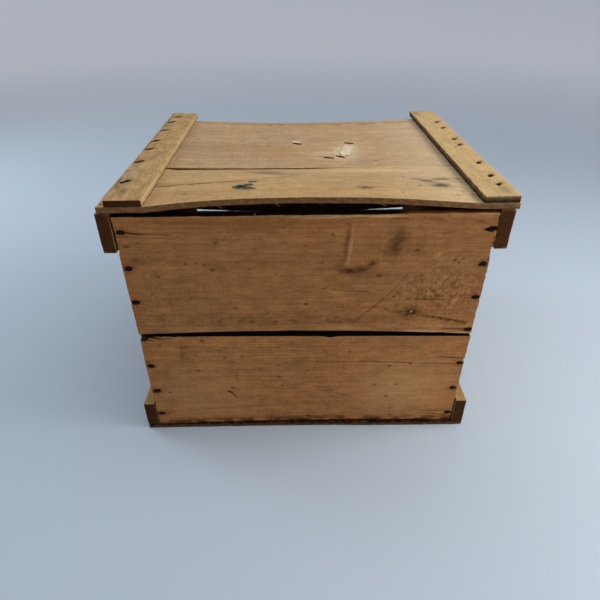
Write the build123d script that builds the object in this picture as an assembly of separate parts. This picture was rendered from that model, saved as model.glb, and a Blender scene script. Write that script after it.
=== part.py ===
from build123d import *
import os

# A nailed wooden apple crate with a pried-off lid resting on top, in millimetres.
# Origin: centre of the base, on the surface that the crate stands on.
# +X runs along the side boards to the right, +Y from the front to the rear, +Z up.

# ---------------------------------------------------------------- driving dimensions
DEPTH = 343.0  # over the outer faces of the front and rear side boards
SIDE_LENGTH = 377.0  # side boards, end to end
SIDE_THICK = 9.5
SIDE_TOP = 296.6  # top edge of the upper side boards

END_THICK = 16.0
END_OUTER_X = 190.0  # outer face of each end board
END_TOP = 300.0
END_SEAM_Z = 176.0  # where the lower and upper board of each end meet

CLEAT_THICK = 13.0  # end cleats, nailed across the outside of each end
CLEAT_HEIGHT_TOP = 43.0
CLEAT_HEIGHT_BOTTOM = 37.0

FLOOR_THICK = 6.0
FLOOR_GAP = 5.0  # air gap between neighbouring bottom boards
FLOOR_MIDDLE_WIDTH = 112.0

LID_REST_GAP = 0.3  # the loose lid clears the ends by this much
LID_THICK = 6.2
LID_LEFT_X = -201.0
LID_RIGHT_X = 206.0
LID_SEAM_Y = -61.0  # joint between the front and the rear lid board
LID_SEAM_GAP = 0.6
LID_REAR_Y = 157.0
LID_REAR_HOLLOW = 16.0  # how far the rear edge curves in at its middle
LID_FRONT_BOW = 6.8  # rise of the front board's middle at its front edge
LID_SEAM_BOW = 1.2  # rise of the same board at the joint
LID_CLEAT_WIDTH = 36.5
LID_CLEAT_THICK = 6.9
LID_CLEAT_LEFT_X = -192.5  # outer edge of the left lid cleat
LID_CLEAT_RIGHT_X = 205.5  # outer edge of the right lid cleat

NAIL_SHANK_R = 1.1
NAIL_HEAD_R = 3.2
NAIL_HEAD_THICK = 1.0
NAIL_POINT = 3.5  # length of the tapered point
NAIL_SINK = 0.5  # how far a head lies below the wood's face
NAIL_CLEARANCE = 0.1  # round a nail that stays in its wood
LID_NAIL_CLEARANCE = 0.45  # round a lid nail in the worn hole that it lifts out of
SIDE_NAIL_LENGTH = 38.0
CLEAT_NAIL_LENGTH = 26.0
FLOOR_NAIL_LENGTH = 34.0
LID_NAIL_LENGTH = 31.0

STAPLE_WIRE = 0.7
STAPLE_LEG = 4.5
PAPER_THICK = 0.3

# ---------------------------------------------------------------- worked out from them
FRONT_Y = -DEPTH / 2
REAR_Y = DEPTH / 2
SIDE_END_X = SIDE_LENGTH / 2
SIDE_INNER_Y = REAR_Y - SIDE_THICK
END_INNER_X = END_OUTER_X - END_THICK
CLEAT_OUTER_X = END_OUTER_X + CLEAT_THICK
LID_UNDER_Z = END_TOP + LID_REST_GAP
LID_TOP_Z = LID_UNDER_Z + LID_THICK
LID_CLEAT_TOP_Z = LID_TOP_Z + LID_CLEAT_THICK
LID_ARCH_LEFT_X = LID_CLEAT_LEFT_X + LID_CLEAT_WIDTH  # the bow runs between the two lid cleats
LID_ARCH_RIGHT_X = LID_CLEAT_RIGHT_X - LID_CLEAT_WIDTH

# ---------------------------------------------------------------- nail places
# Heights of the side-board nails at each end of a side.
FRONT_LEFT_NAILS = {"upper": (280.0, 239.0, 197.0), "lower": (147.4, 106.0, 66.0, 27.0)}
FRONT_RIGHT_NAILS = {"upper": (279.0, 240.0, 198.0, 154.0), "lower": (104.0, 63.0, 20.0)}
REAR_NAILS = {"upper": (272.0, 238.0, 204.0, 170.0), "lower": (132.0, 96.0, 60.0, 24.0)}
SIDE_NAIL_X = 182.7

CLEAT_NAIL_Y = (-138.0, -60.0, 60.0, 138.0)
CLEAT_NAIL_Z = {"top": 268.0, "bottom": 34.0}
FLOOR_NAIL_X = 178.0
FLOOR_NAIL_INSET = 14.0  # from a bottom board's long edges to its outer nails

# Lid nails, as x and the distance behind the front face.
LID_LEFT_NAILS = (
    (-184.0, 50.0),
    (-186.0, 114.0),
    (-186.2, 161.0),
    (-186.4, 195.5),
    (-186.0, 246.0),
    (-185.0, 289.0),
    (-181.5, 320.0),
)
LID_RIGHT_NAILS = (
    (194.5, 33.0),
    (194.3, 58.0),
    (196.0, 100.0),
    (194.4, 167.0),
    (195.0, 192.0),
    (195.2, 246.0),
    (194.4, 278.0),
)

# Staples left in the rear lid board: the two ends of each crown, as x and distance behind the front face.
STAPLES = (
    ((55.5, 206.0), (66.7, 201.3)),
    ((25.2, 146.1), (36.8, 142.1)),
    ((40.2, 151.3), (50.7, 143.6)),
    ((-10.7, 206.6), (-1.3, 201.1)),
)


# ---------------------------------------------------------------- small helpers
def block(low, high):
    """Rectangular solid between two opposite corners."""
    size = [b - a for a, b in zip(low, high)]
    middle = [(a + b) / 2 for a, b in zip(low, high)]
    return Pos(*middle) * Box(*size)


def plate(edges, y_low, y_high):
    """Solid with an outline drawn in X and Z, running from y_low to y_high."""
    outline = Plane.XZ * make_face(edges)
    return Pos(0, y_high, 0) * extrude(outline, amount=y_high - y_low)


def nail(length):
    """Flat-headed round nail: top of the head at the origin, point towards -Z."""
    profile = Polyline(
        (0, 0),
        (NAIL_HEAD_R, 0),
        (NAIL_HEAD_R, -NAIL_HEAD_THICK),
        (NAIL_SHANK_R, -NAIL_HEAD_THICK),
        (NAIL_SHANK_R, NAIL_POINT - length),
        (0, -length),
        close=True,
    )
    return revolve(Plane.XZ * make_face(profile), Axis.Z)


def nail_hole(length, clearance):
    """What a nail takes out of the wood: the shank's hole and the pocket of the sunk head."""
    shank = Cylinder(
        NAIL_SHANK_R + clearance,
        length + clearance,
        align=(Align.CENTER, Align.CENTER, Align.MAX),
    )
    pocket = Cylinder(
        NAIL_HEAD_R + NAIL_CLEARANCE,
        NAIL_HEAD_THICK + 2 * NAIL_SINK,
        align=(Align.CENTER, Align.CENTER, Align.MIN),
    )
    return shank + Pos(0, 0, -NAIL_HEAD_THICK) * pocket


def sunk(face_point, outward):
    """Where the top of a nail's head sits, for a nail driven against the face's outward normal."""
    face = Plane(origin=face_point, z_dir=outward)
    return face.offset(-NAIL_SINK)


def place_all(solid, planes):
    """One copy of the solid at each plane."""
    return [plane * solid for plane in planes]


# ---------------------------------------------------------------- where every nail goes
def side_nails(side, level):
    """Nails through one side board into the edges of the end boards."""
    face_y, outward = (FRONT_Y, (0, -1, 0)) if side == "front" else (REAR_Y, (0, 1, 0))
    left = FRONT_LEFT_NAILS if side == "front" else REAR_NAILS
    right = FRONT_RIGHT_NAILS if side == "front" else REAR_NAILS
    spots = [(-SIDE_NAIL_X, z) for z in left[level]]
    spots += [(SIDE_NAIL_X, z) for z in right[level]]
    return [sunk((x, face_y, z), outward) for x, z in spots]


def cleat_nails(end, level):
    """Nails through one end cleat into the end board behind it."""
    sign = -1 if end == "left" else 1
    z = CLEAT_NAIL_Z[level]
    return [sunk((sign * CLEAT_OUTER_X, y, z), (sign, 0, 0)) for y in CLEAT_NAIL_Y]


def floor_board_spans():
    """Front and rear edge of each bottom board."""
    half_middle = FLOOR_MIDDLE_WIDTH / 2
    return {
        "front": (FRONT_Y, -half_middle - FLOOR_GAP),
        "middle": (-half_middle, half_middle),
        "rear": (half_middle + FLOOR_GAP, REAR_Y),
    }


def floor_nails(board):
    """Nails up through one bottom board into the lower end boards, three at each end."""
    y_low, y_high = floor_board_spans()[board]
    rows = (y_low + FLOOR_NAIL_INSET, (y_low + y_high) / 2, y_high - FLOOR_NAIL_INSET)
    return [sunk((x, y, 0), (0, 0, -1)) for x in (-FLOOR_NAIL_X, FLOOR_NAIL_X) for y in rows]


def lid_nails(end):
    """Nails down through one lid cleat and the lid boards, loose in their old holes below."""
    spots = LID_LEFT_NAILS if end == "left" else LID_RIGHT_NAILS
    return [sunk((x, FRONT_Y + back, LID_CLEAT_TOP_Z), (0, 0, 1)) for x, back in spots]


SIDES = ("front", "rear")
LEVELS = ("upper", "lower")
ENDS = ("left", "right")

side_holes = [
    hole
    for side in SIDES
    for level in LEVELS
    for hole in place_all(nail_hole(SIDE_NAIL_LENGTH, NAIL_CLEARANCE), side_nails(side, level))
]
cleat_holes = [
    hole
    for end in ENDS
    for level in ("top", "bottom")
    for hole in place_all(nail_hole(CLEAT_NAIL_LENGTH, NAIL_CLEARANCE), cleat_nails(end, level))
]
floor_holes = [
    hole
    for board in floor_board_spans()
    for hole in place_all(nail_hole(FLOOR_NAIL_LENGTH, NAIL_CLEARANCE), floor_nails(board))
]
lid_planes = lid_nails("left") + lid_nails("right")
lid_holes = place_all(nail_hole(LID_NAIL_LENGTH, NAIL_CLEARANCE), lid_planes)
worn_lid_holes = place_all(nail_hole(LID_NAIL_LENGTH, LID_NAIL_CLEARANCE), lid_planes)


def drilled(board, holes):
    """The board with every hole that reaches it cut out."""
    extent = board.bounding_box()
    for hole in holes:
        reach = hole.bounding_box()
        apart = (
            reach.min.X > extent.max.X
            or reach.max.X < extent.min.X
            or reach.min.Y > extent.max.Y
            or reach.max.Y < extent.min.Y
            or reach.min.Z > extent.max.Z
            or reach.max.Z < extent.min.Z
        )
        if not apart:
            board = board - hole
    return board


# ---------------------------------------------------------------- box boards
def edge_curve(z_left, z_middle, z_right):
    """Long edge of a side board, slightly arched: heights at the left end, middle and right end."""
    return ThreePointArc((-SIDE_END_X, z_left), (0, z_middle), (SIDE_END_X, z_right))


def side_board(bottom_edge, top_edge, side):
    """One thin side board between two long edges."""
    left_end = Line(top_edge @ 0, bottom_edge @ 0)
    right_end = Line(bottom_edge @ 1, top_edge @ 1)
    y_low, y_high = (FRONT_Y, -SIDE_INNER_Y) if side == "front" else (SIDE_INNER_Y, REAR_Y)
    board = plate([bottom_edge, right_end, top_edge, left_end], y_low, y_high)
    return drilled(board, side_holes)


def straight_edge(z):
    """Long edge that is straight."""
    return Line((-SIDE_END_X, z), (SIDE_END_X, z))


def front_upper_board():
    """Upper front board, with the split-out slot behind its top right nail."""
    board = side_board(edge_curve(153.6, 155.9, 147.9), straight_edge(SIDE_TOP), "front")
    slot_height = 3.4
    slot_z = FRONT_RIGHT_NAILS["upper"][0]
    slot = block(
        (SIDE_NAIL_X, FRONT_Y - 1, slot_z - slot_height / 2),
        (SIDE_END_X + 1, FRONT_Y + 4.0, slot_z + slot_height / 2),
    )
    return board - slot


def front_lower_board():
    """Lower front board, with its broken top left corner and the chip at its right end."""
    board = side_board(
        edge_curve(FLOOR_THICK, FLOOR_THICK + 4.2, FLOOR_THICK), edge_curve(151.0, 148.3, 145.2), "front"
    )
    broken_corner = plate(
        Polyline(
            (-SIDE_END_X - 1, 145.5),
            (-SIDE_END_X + 2.0, 146.5),
            (-SIDE_END_X + 5.0, 152.0),
            (-SIDE_END_X - 1, 152.0),
            close=True,
        ),
        FRONT_Y - 1,
        REAR_Y,
    )
    end_chip = plate(
        Polyline(
            (SIDE_END_X + 1, 110.0),
            (SIDE_END_X - 1.6, 107.0),
            (SIDE_END_X - 1.2, 98.0),
            (SIDE_END_X + 1, 96.5),
            close=True,
        ),
        FRONT_Y - 1,
        REAR_Y,
    )
    return board - broken_corner - end_chip


def rear_upper_board():
    """Upper rear board: its lower edge arches away from the board below towards both ends."""
    return side_board(edge_curve(160.5, 153.6, 160.0), straight_edge(SIDE_TOP), "rear")


def rear_lower_board():
    """Lower rear board."""
    return side_board(
        edge_curve(FLOOR_THICK, FLOOR_THICK + 2.0, FLOOR_THICK), edge_curve(153.4, 152.0, 153.0), "rear"
    )


def end_board(end, level):
    """One of the two thick boards of an end, nailed into on all four sides."""
    z_low, z_high = (END_SEAM_Z, END_TOP) if level == "upper" else (FLOOR_THICK, END_SEAM_Z)
    x_low, x_high = (-END_OUTER_X, -END_INNER_X) if end == "left" else (END_INNER_X, END_OUTER_X)
    board = block((x_low, -SIDE_INNER_Y, z_low), (x_high, SIDE_INNER_Y, z_high))
    return drilled(board, side_holes + cleat_holes + floor_holes + worn_lid_holes)


def end_cleat(end, level):
    """Strip across the outside of an end, at its top or bottom edge."""
    z_low, z_high = FLOOR_THICK, FLOOR_THICK + CLEAT_HEIGHT_BOTTOM
    if level == "top":
        z_low, z_high = END_TOP - CLEAT_HEIGHT_TOP, END_TOP
    x_low, x_high = (-CLEAT_OUTER_X, -END_OUTER_X) if end == "left" else (END_OUTER_X, CLEAT_OUTER_X)
    strip = block((x_low, FRONT_Y, z_low), (x_high, REAR_Y, z_high))
    return drilled(strip, cleat_holes + worn_lid_holes)


def bottom_board(board):
    """One thin board of the bottom, as long as the crate over its cleats."""
    y_low, y_high = floor_board_spans()[board]
    slab = block((-CLEAT_OUTER_X, y_low, 0), (CLEAT_OUTER_X, y_high, FLOOR_THICK))
    return drilled(slab, floor_holes)


# ---------------------------------------------------------------- lid
def bowed_section(y, bow):
    """Cross-section of the front lid board at one depth: flat under the cleats, arched between."""
    middle_x = (LID_ARCH_LEFT_X + LID_ARCH_RIGHT_X) / 2
    edges = []
    for z in (LID_UNDER_Z, LID_TOP_Z):
        edges.append(Line((LID_LEFT_X, z), (LID_ARCH_LEFT_X, z)))
        edges.append(
            ThreePointArc((LID_ARCH_LEFT_X, z), (middle_x, z + bow), (LID_ARCH_RIGHT_X, z))
        )
        edges.append(Line((LID_ARCH_RIGHT_X, z), (LID_RIGHT_X, z)))
    edges.append(Line((LID_LEFT_X, LID_UNDER_Z), (LID_LEFT_X, LID_TOP_Z)))
    edges.append(Line((LID_RIGHT_X, LID_UNDER_Z), (LID_RIGHT_X, LID_TOP_Z)))
    section = make_face(edges)
    return Plane(origin=(0, y, 0), x_dir=(1, 0, 0), z_dir=(0, -1, 0)) * section


def lid_board_front():
    """Front lid board, sprung up in the middle of its front edge."""
    sections = [
        bowed_section(FRONT_Y, LID_FRONT_BOW),
        bowed_section(LID_SEAM_Y - LID_SEAM_GAP / 2, LID_SEAM_BOW),
    ]
    return drilled(loft(sections, ruled=True), lid_holes)


def lid_board_rear():
    """Rear lid board, flat, with a hollow rear edge."""
    x_low, x_high = LID_LEFT_X + 1.0, LID_RIGHT_X - 1.5
    y_low = LID_SEAM_Y + LID_SEAM_GAP / 2
    middle = ((x_low + x_high) / 2, LID_REAR_Y - LID_REAR_HOLLOW)
    outline = [
        Polyline((x_low, LID_REAR_Y), (x_low, y_low), (x_high, y_low), (x_high, LID_REAR_Y)),
        ThreePointArc((x_high, LID_REAR_Y), middle, (x_low, LID_REAR_Y)),
    ]
    slab = Pos(0, 0, LID_UNDER_Z) * extrude(make_face(outline), amount=LID_THICK)
    return drilled(slab, lid_holes)


def lid_cleat(end):
    """Strip across the lid boards over one end of the crate."""
    x_low = LID_CLEAT_LEFT_X if end == "left" else LID_CLEAT_RIGHT_X - LID_CLEAT_WIDTH
    strip = block((x_low, FRONT_Y, LID_TOP_Z), (x_low + LID_CLEAT_WIDTH, REAR_Y, LID_CLEAT_TOP_Z))
    return drilled(strip, lid_holes)


def staple(start, end):
    """Wire staple driven into the rear lid board, its crown just proud of the face."""
    crown_z = LID_TOP_Z + PAPER_THICK + STAPLE_WIRE / 2
    first = Vector(start[0], FRONT_Y + start[1], crown_z)
    last = Vector(end[0], FRONT_Y + end[1], crown_z)
    down = Vector(0, 0, -STAPLE_LEG)
    path = Polyline(first + down, first, last, last + down)
    section = Plane(origin=path @ 0, z_dir=path % 0) * Circle(STAPLE_WIRE / 2)
    return sweep(section, path=path, transition=Transition.RIGHT)


def paper_scrap(centre_x, back, length, width, turn):
    """Torn remnant of a label under the staples, flat on the rear lid board."""
    sheet = Box(length, width, PAPER_THICK, align=(Align.CENTER, Align.CENTER, Align.MIN))
    return Pos(centre_x, FRONT_Y + back, LID_TOP_Z) * Rot(0, 0, turn) * sheet


# ---------------------------------------------------------------- every node
def nails(length, planes):
    """A group of equal nails."""
    return Compound(children=place_all(nail(length), planes))


nodes = {
    "side_board_front_upper": front_upper_board(),
    "side_board_front_lower": front_lower_board(),
    "side_board_rear_upper": rear_upper_board(),
    "side_board_rear_lower": rear_lower_board(),
    "lid_board_front": lid_board_front(),
    "lid_board_rear": lid_board_rear(),
    "lid_staples": Compound(children=[staple(start, end) for start, end in STAPLES]),
    "lid_paper_scraps": Compound(
        children=[
            paper_scrap(54.5, 171.5, 42.0, 11.0, 76.0),
            paper_scrap(-5.9, 208.6, 11.0, 5.0, -30.0),
        ]
    ),
}
for end in ENDS:
    nodes[f"lid_cleat_{end}"] = lid_cleat(end)
    nodes[f"lid_nails_{end}"] = nails(LID_NAIL_LENGTH, lid_nails(end))
    for level in LEVELS:
        nodes[f"end_board_{end}_{level}"] = end_board(end, level)
    for level in ("top", "bottom"):
        nodes[f"end_cleat_{end}_{level}"] = end_cleat(end, level)
        nodes[f"cleat_nails_{end}_{level}"] = nails(CLEAT_NAIL_LENGTH, cleat_nails(end, level))
for side in SIDES:
    for level in LEVELS:
        nodes[f"side_nails_{side}_{level}"] = nails(SIDE_NAIL_LENGTH, side_nails(side, level))
for board in floor_board_spans():
    nodes[f"bottom_board_{board}"] = bottom_board(board)
    nodes[f"bottom_nails_{board}"] = nails(FLOOR_NAIL_LENGTH, floor_nails(board))

os.makedirs("parts", exist_ok=True)
for name, shape in nodes.items():
    export_step(shape, f"parts/{name}.step")
print(len(nodes), "nodes written")
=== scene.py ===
import math

import bpy
import numpy as np
from mathutils import Matrix, Vector


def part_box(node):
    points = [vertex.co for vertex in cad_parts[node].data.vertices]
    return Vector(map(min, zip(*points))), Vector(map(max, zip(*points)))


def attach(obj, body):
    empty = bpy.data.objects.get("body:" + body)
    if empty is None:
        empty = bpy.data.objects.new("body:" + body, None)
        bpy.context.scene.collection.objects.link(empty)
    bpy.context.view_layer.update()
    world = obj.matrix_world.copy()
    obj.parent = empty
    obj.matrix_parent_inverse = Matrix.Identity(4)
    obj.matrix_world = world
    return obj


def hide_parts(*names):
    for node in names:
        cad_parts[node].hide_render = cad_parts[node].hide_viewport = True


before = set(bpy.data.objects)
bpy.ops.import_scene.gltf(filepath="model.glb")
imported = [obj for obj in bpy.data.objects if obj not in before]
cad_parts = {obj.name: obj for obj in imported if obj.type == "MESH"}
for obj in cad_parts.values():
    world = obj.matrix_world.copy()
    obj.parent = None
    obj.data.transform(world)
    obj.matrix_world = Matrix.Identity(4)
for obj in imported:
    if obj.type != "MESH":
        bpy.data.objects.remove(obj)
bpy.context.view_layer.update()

# A worn wooden apple crate. Lengths in this script are millimetres in the crate's own frame
# (+X right along the side boards, +Y to the rear, +Z up) and become metres when a mesh is made.

MM = 0.001
X, Y, Z = 0, 1, 2
EDGE_STEPS = (0.0, 0.35, 1.0, 2.0)  # distances of the closest grid lines from a board's edges
FINE_ALONG = 0.8  # spacing of the grid lines near nails and cracks
FINE_ACROSS = 0.6
WORN_RADIUS = 0.9  # of a board's edges
KNOT_SWIRL = 6.0  # how far a knot pushes the growth rings aside
RING_TAPER = 0.012  # growth rings drift this much for every millimetre along a board
BRUISE_FLATNESS = 0.7
NOISE_CELLS = 97
NAIL_HEAD_R = 3.2
ONE_NAIL_REACH = 2.2 * NAIL_HEAD_R  # points closer together than this belong to one nail
FRONT_Y = -171.5  # front plane of the crate


# ================================================================ numbers and noise
def noise(u, v, seed):
    """Smooth random field from -1 to 1, with features about one unit across."""
    table = np.random.default_rng(seed).uniform(-1.0, 1.0, (NOISE_CELLS, NOISE_CELLS))
    column = np.floor(u).astype(int)
    row = np.floor(v).astype(int)
    part_u = u - column
    part_v = v - row
    soft_u = part_u * part_u * (3 - 2 * part_u)
    soft_v = part_v * part_v * (3 - 2 * part_v)

    def value(du, dv):
        return table[(column + du) % NOISE_CELLS, (row + dv) % NOISE_CELLS]

    near = value(0, 0) * (1 - soft_u) + value(1, 0) * soft_u
    far = value(0, 1) * (1 - soft_u) + value(1, 1) * soft_u
    return near * (1 - soft_v) + far * soft_v


def wander(u, seed):
    """Smooth random line from -1 to 1, with features about one unit long."""
    return noise(u, 0 * u, seed)


def ragged(u, seed, size):
    """Uneven line of a sawn and knocked edge, mostly within size of 0."""
    line = 0.5 * wander(u / 34, seed) + 0.35 * wander(u / 9, seed + 1)
    nicks = np.maximum(wander(u / 4, seed + 2) - 0.55, 0) * 2.2
    return size * (line + 0.25 * wander(u / 2.2, seed + 3) - nicks)


def smooth(low, high, value):
    """0 below low, 1 above high, eased between."""
    part = np.clip((value - low) / (high - low), 0, 1)
    return part * part * (3 - 2 * part)


def parabola(u, left, right, at_left, at_middle, at_right):
    """Curve through three heights at the left end, the middle and the right end of a board."""
    place = 2 * (u - left) / (right - left) - 1
    slope = (at_right - at_left) / 2
    hollow = (at_left + at_right) / 2 - at_middle
    return at_middle + slope * place + hollow * place * place


def grid_lines(low, high, step, zones, zone_step):
    """Grid lines from low to high: close at both edges and inside the zones, else a step apart."""
    inset = EDGE_STEPS[-1]
    count = max(2, int(round((high - low - 2 * inset) / step)) + 1)
    lines = list(np.linspace(low + inset, high - inset, count))
    lines += [low + e for e in EDGE_STEPS[:-1]] + [high - e for e in EDGE_STEPS[:-1]]
    for middle, reach in zones:
        lines += list(np.arange(middle - reach, middle + reach, zone_step))
    kept = [low]
    closest = 0.6 * min(zone_step, EDGE_STEPS[1])
    for line in sorted(lines):
        if line - kept[-1] >= closest and high - line >= closest:
            kept.append(line)
    return np.array(kept + [high])


def shell_of_lattice(shape):
    """Which points of a lattice lie on its surface, and the quads that join them, facing outwards."""
    on_surface = np.ones(shape, bool)
    on_surface[1:-1, 1:-1, 1:-1] = False
    number = np.full(shape, -1)
    number[on_surface] = np.arange(on_surface.sum())
    quads = []
    for axis in range(3):
        for end in (0, -1):
            sheet = np.take(number, end, axis=axis)
            corners = [sheet[:-1, :-1], sheet[1:, :-1], sheet[1:, 1:], sheet[:-1, 1:]]
            if (end == 0) != (axis == 1):
                corners.reverse()
            quads.append(np.stack([corner.ravel() for corner in corners], axis=1))
    return on_surface, np.concatenate(quads)


# ================================================================ meshes
def mesh_object(name, points, faces, body, material, replaced=()):
    """Smooth-shaded piece from millimetre points, riding on a body and standing in for CAD nodes."""
    mesh = bpy.data.meshes.new(name)
    mesh.from_pydata((np.asarray(points) * MM).tolist(), [], faces)
    mesh.validate()
    mesh.shade_smooth()
    mesh.materials.append(material)
    piece = bpy.data.objects.new(name, mesh)
    bpy.context.scene.collection.objects.link(piece)
    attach(piece, body)
    if replaced:
        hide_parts(*replaced)
    return piece


def join_shapes(shapes):
    """Several points-and-faces pairs as one."""
    all_points = []
    all_faces = []
    for points, faces in shapes:
        start = len(all_points)
        all_points += points
        all_faces += [tuple(start + index for index in corners) for corners in faces]
    return all_points, all_faces


def add_vectors(mesh, name, values):
    """Vector attribute with one value per point."""
    layer = mesh.attributes.new(name, "FLOAT_VECTOR", "POINT")
    layer.data.foreach_set("vector", np.ascontiguousarray(values, np.float32).ravel())


def add_colours(mesh, name, values):
    """Colour attribute with one value per point."""
    layer = mesh.attributes.new(name, "FLOAT_COLOR", "POINT")
    layer.data.foreach_set("color", np.ascontiguousarray(values, np.float32).ravel())


def nail_places(node, axis):
    """Where a CAD node's nails are, as their two coordinates across the way they point."""
    points = np.array([v.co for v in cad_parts[node].data.vertices]) / MM
    flat = np.delete(points, axis, axis=1)
    places = []
    while len(flat):
        near = np.linalg.norm(flat - flat[0], axis=1) < ONE_NAIL_REACH
        places.append(tuple((flat[near].min(axis=0) + flat[near].max(axis=0)) / 2))
        flat = flat[~near]
    return sorted(places)


# ================================================================ boards
class Board:
    """One sawn board, meshed on a lattice in its own axes.

    a runs along the grain, c across it and t through the thickness. They are the crate's axes in
    another order, so a place on the board is a place on the crate. Marks are pressed and painted
    on the outer face.
    """

    def __init__(self, node, along, across, outward, seed, step, zones_a=(), zones_c=()):
        self.node = node
        self.seed = seed
        self.outward = outward
        self.order = (along, across, 3 - along - across)
        corner_low, corner_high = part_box(node)
        self.low = np.array([corner_low[i] for i in self.order]) / MM
        self.high = np.array([corner_high[i] for i in self.order]) / MM
        thickness = self.high[2] - self.low[2]
        lines_a = grid_lines(self.low[0], self.high[0], step[0], zones_a, FINE_ALONG)
        lines_c = grid_lines(self.low[1], self.high[1], step[1], zones_c, FINE_ACROSS)
        lines_t = grid_lines(self.low[2], self.high[2], thickness / 3, (), 1.0)
        lattice = np.stack(np.meshgrid(lines_a, lines_c, lines_t, indexing="ij"), axis=-1)
        on_surface, self.quads = shell_of_lattice(lattice.shape[:3])
        points = lattice[on_surface]
        self.end_grain = (points[:, 0] <= self.low[0]) | (points[:, 0] >= self.high[0])
        self.low_edge = points[:, 1] <= self.low[1]
        self.high_edge = points[:, 1] >= self.high[1]
        outer = self.high[2] if outward > 0 else self.low[2]
        self.on_face = smooth(0.55, 1.0, 1 - np.abs(points[:, 2] - outer) / thickness)
        self.round_edges(points)
        count = len(self.a)
        self.ring_shift = np.zeros(count)
        self.depth = np.zeros(count)
        # kinds of colouring: the dark stain kind also carries painted shade, the fifth kind carries only
        # painted shade, and the pale kind also carries painted light
        kinds = ("stain_and_shade", "black", "pale", "amber", "dirt_and_shade", "ink")
        self.paint = {kind: np.zeros(count) for kind in kinds}

    def round_edges(self, points):
        """Takes the sharpness off every edge, unevenly."""
        wear = WORN_RADIUS * (1 + 0.55 * noise(points[:, 0] / 17, points[:, 1] / 17, self.seed))[:, None]
        core = np.clip(points, self.low + wear, self.high - wear)
        out = points - core
        length = np.linalg.norm(out, axis=1, keepdims=True)
        points = core + out * wear / np.maximum(length, 1e-9)
        self.a, self.c, self.t = points.T.copy()

    def move_long_edges(self, low_edge, high_edge, reach=28.0):
        """Moves the two long edges to the given lines, and the wood beside them with them."""
        near_low = 1 - smooth(0, reach, self.c - self.low[1])
        near_high = 1 - smooth(0, reach, self.high[1] - self.c)
        shift = (low_edge - self.low[1]) * near_low + (high_edge - self.high[1]) * near_high
        self.c = self.c + shift

    def roughen_outline(self, edge=0.5, end=0.6):
        """Uneven long edges and ends."""
        near_low = 1 - smooth(0, 3.5, self.c - self.low[1])
        near_high = 1 - smooth(0, 3.5, self.high[1] - self.c)
        self.c = self.c - ragged(self.a, self.seed + 11, edge) * near_low
        self.c = self.c + ragged(self.a, self.seed + 21, edge) * near_high
        near_left = 1 - smooth(0, 3.0, self.a - self.low[0])
        near_right = 1 - smooth(0, 3.0, self.high[0] - self.a)
        self.a = self.a - ragged(self.c, self.seed + 31, end) * near_left
        self.a = self.a + ragged(self.c, self.seed + 41, end) * near_right

    def cover(self, kind, amount):
        """Adds one kind of colouring anywhere on the board."""
        self.paint[kind] = np.maximum(self.paint[kind], amount)

    def mark(self, kind, amount):
        """Adds one kind of colouring to the outer face."""
        self.cover(kind, amount * self.on_face)

    def spot(self, place, size, turn=0.0, wobble=0.0):
        """Distance from a place, 1 at the outline of an ellipse of that size."""
        angle = math.radians(turn)
        da = self.a - place[0]
        dc = self.c - place[1]
        along = da * math.cos(angle) + dc * math.sin(angle)
        side = dc * math.cos(angle) - da * math.sin(angle)
        shape = np.hypot(along / size[0], side / size[1])
        return shape * (1 + wobble * noise(self.a / 2.6, self.c / 2.1, self.seed + 91))

    def streak(self, start, end, width):
        """Distance from the slightly wandering line between two places, 1 at half the width."""
        start = np.array(start, float)
        run = np.array(end, float) - start
        da = self.a - start[0] + 0.5 * noise(self.a / 9, self.c / 9, self.seed + 92)
        dc = self.c - start[1] + 0.5 * noise(self.a / 7, self.c / 30, self.seed + 93)
        part = np.clip((da * run[0] + dc * run[1]) / (run @ run), 0, 1)
        off = np.hypot(da - part * run[0], dc - part * run[1])
        taper = 0.35 + 0.65 * np.sqrt(np.clip(4 * part * (1 - part), 0, 1))
        return off / (width / 2 * taper)

    def pocket(self, place, size, depth, turn=0.0):
        """Sunk place with steep sides."""
        self.depth += depth * (1 - smooth(0.75, 1.25, self.spot(place, size, turn, 0.2)))

    def groove(self, start, end, width, depth, dark=0.9, kind="stain_and_shade"):
        """Split or scratch along a line, dark inside."""
        inside = 1 - smooth(0.4, 1.5, self.streak(start, end, width))
        self.depth += depth * inside
        self.mark(kind, dark * inside)

    def blot(self, kind, place, size, amount, turn=0.0, wobble=0.3):
        """Soft-edged patch of one kind of colouring."""
        self.mark(kind, amount * np.exp(-1.2 * self.spot(place, size, turn, wobble) ** 2))

    def blots(self, kind, rows):
        """Several soft-edged patches, each row a place, a size, an amount and maybe a turn."""
        for a, c, length, width, amount, *turn in rows:
            self.blot(kind, (a, c), (length, width), amount, *turn)

    def dots(self, places, size, amount):
        """Small dark stains of one size."""
        self.blots("stain_and_shade", [(a, c, *size, amount) for a, c in places])

    def bruises(self, rows, amount):
        """Small dark stains, each row a place and a length."""
        self.blots("stain_and_shade", [(a, c, length, BRUISE_FLATNESS * length, amount) for a, c, length in rows])

    def grooves(self, rows):
        """Several splits or scratches, each row two places, a width, a depth and maybe how dark."""
        for a1, c1, a2, c2, width, depth, *dark in rows:
            self.groove((a1, c1), (a2, c2), width, depth, *dark)

    def clear(self, place, size):
        """Takes the dark marks off a small place, leaving the bare wood."""
        kept = smooth(0.6, 1.4, self.spot(place, size))
        for kind in ("stain_and_shade", "black", "dirt_and_shade"):
            self.paint[kind] = self.paint[kind] * kept

    def knot(self, place, size):
        """Knot with the grain running round it."""
        apart = self.spot(place, (size * 2.6, size * 1.5))
        side = np.where(self.c > place[1], 1.0, -1.0)
        self.ring_shift += side * KNOT_SWIRL * np.exp(-apart * apart)
        self.blot("stain_and_shade", place, (size * 1.7, size * 1.1), 0.75)
        core = self.spot(place, (size * 0.6, size * 0.55), 0, 0.3)
        self.mark("black", 0.55 * (1 - smooth(0.5, 1.1, core)))
        self.depth += 0.35 * (1 - smooth(0.7, 1.2, self.spot(place, (size * 0.55, size * 0.5))))

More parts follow.
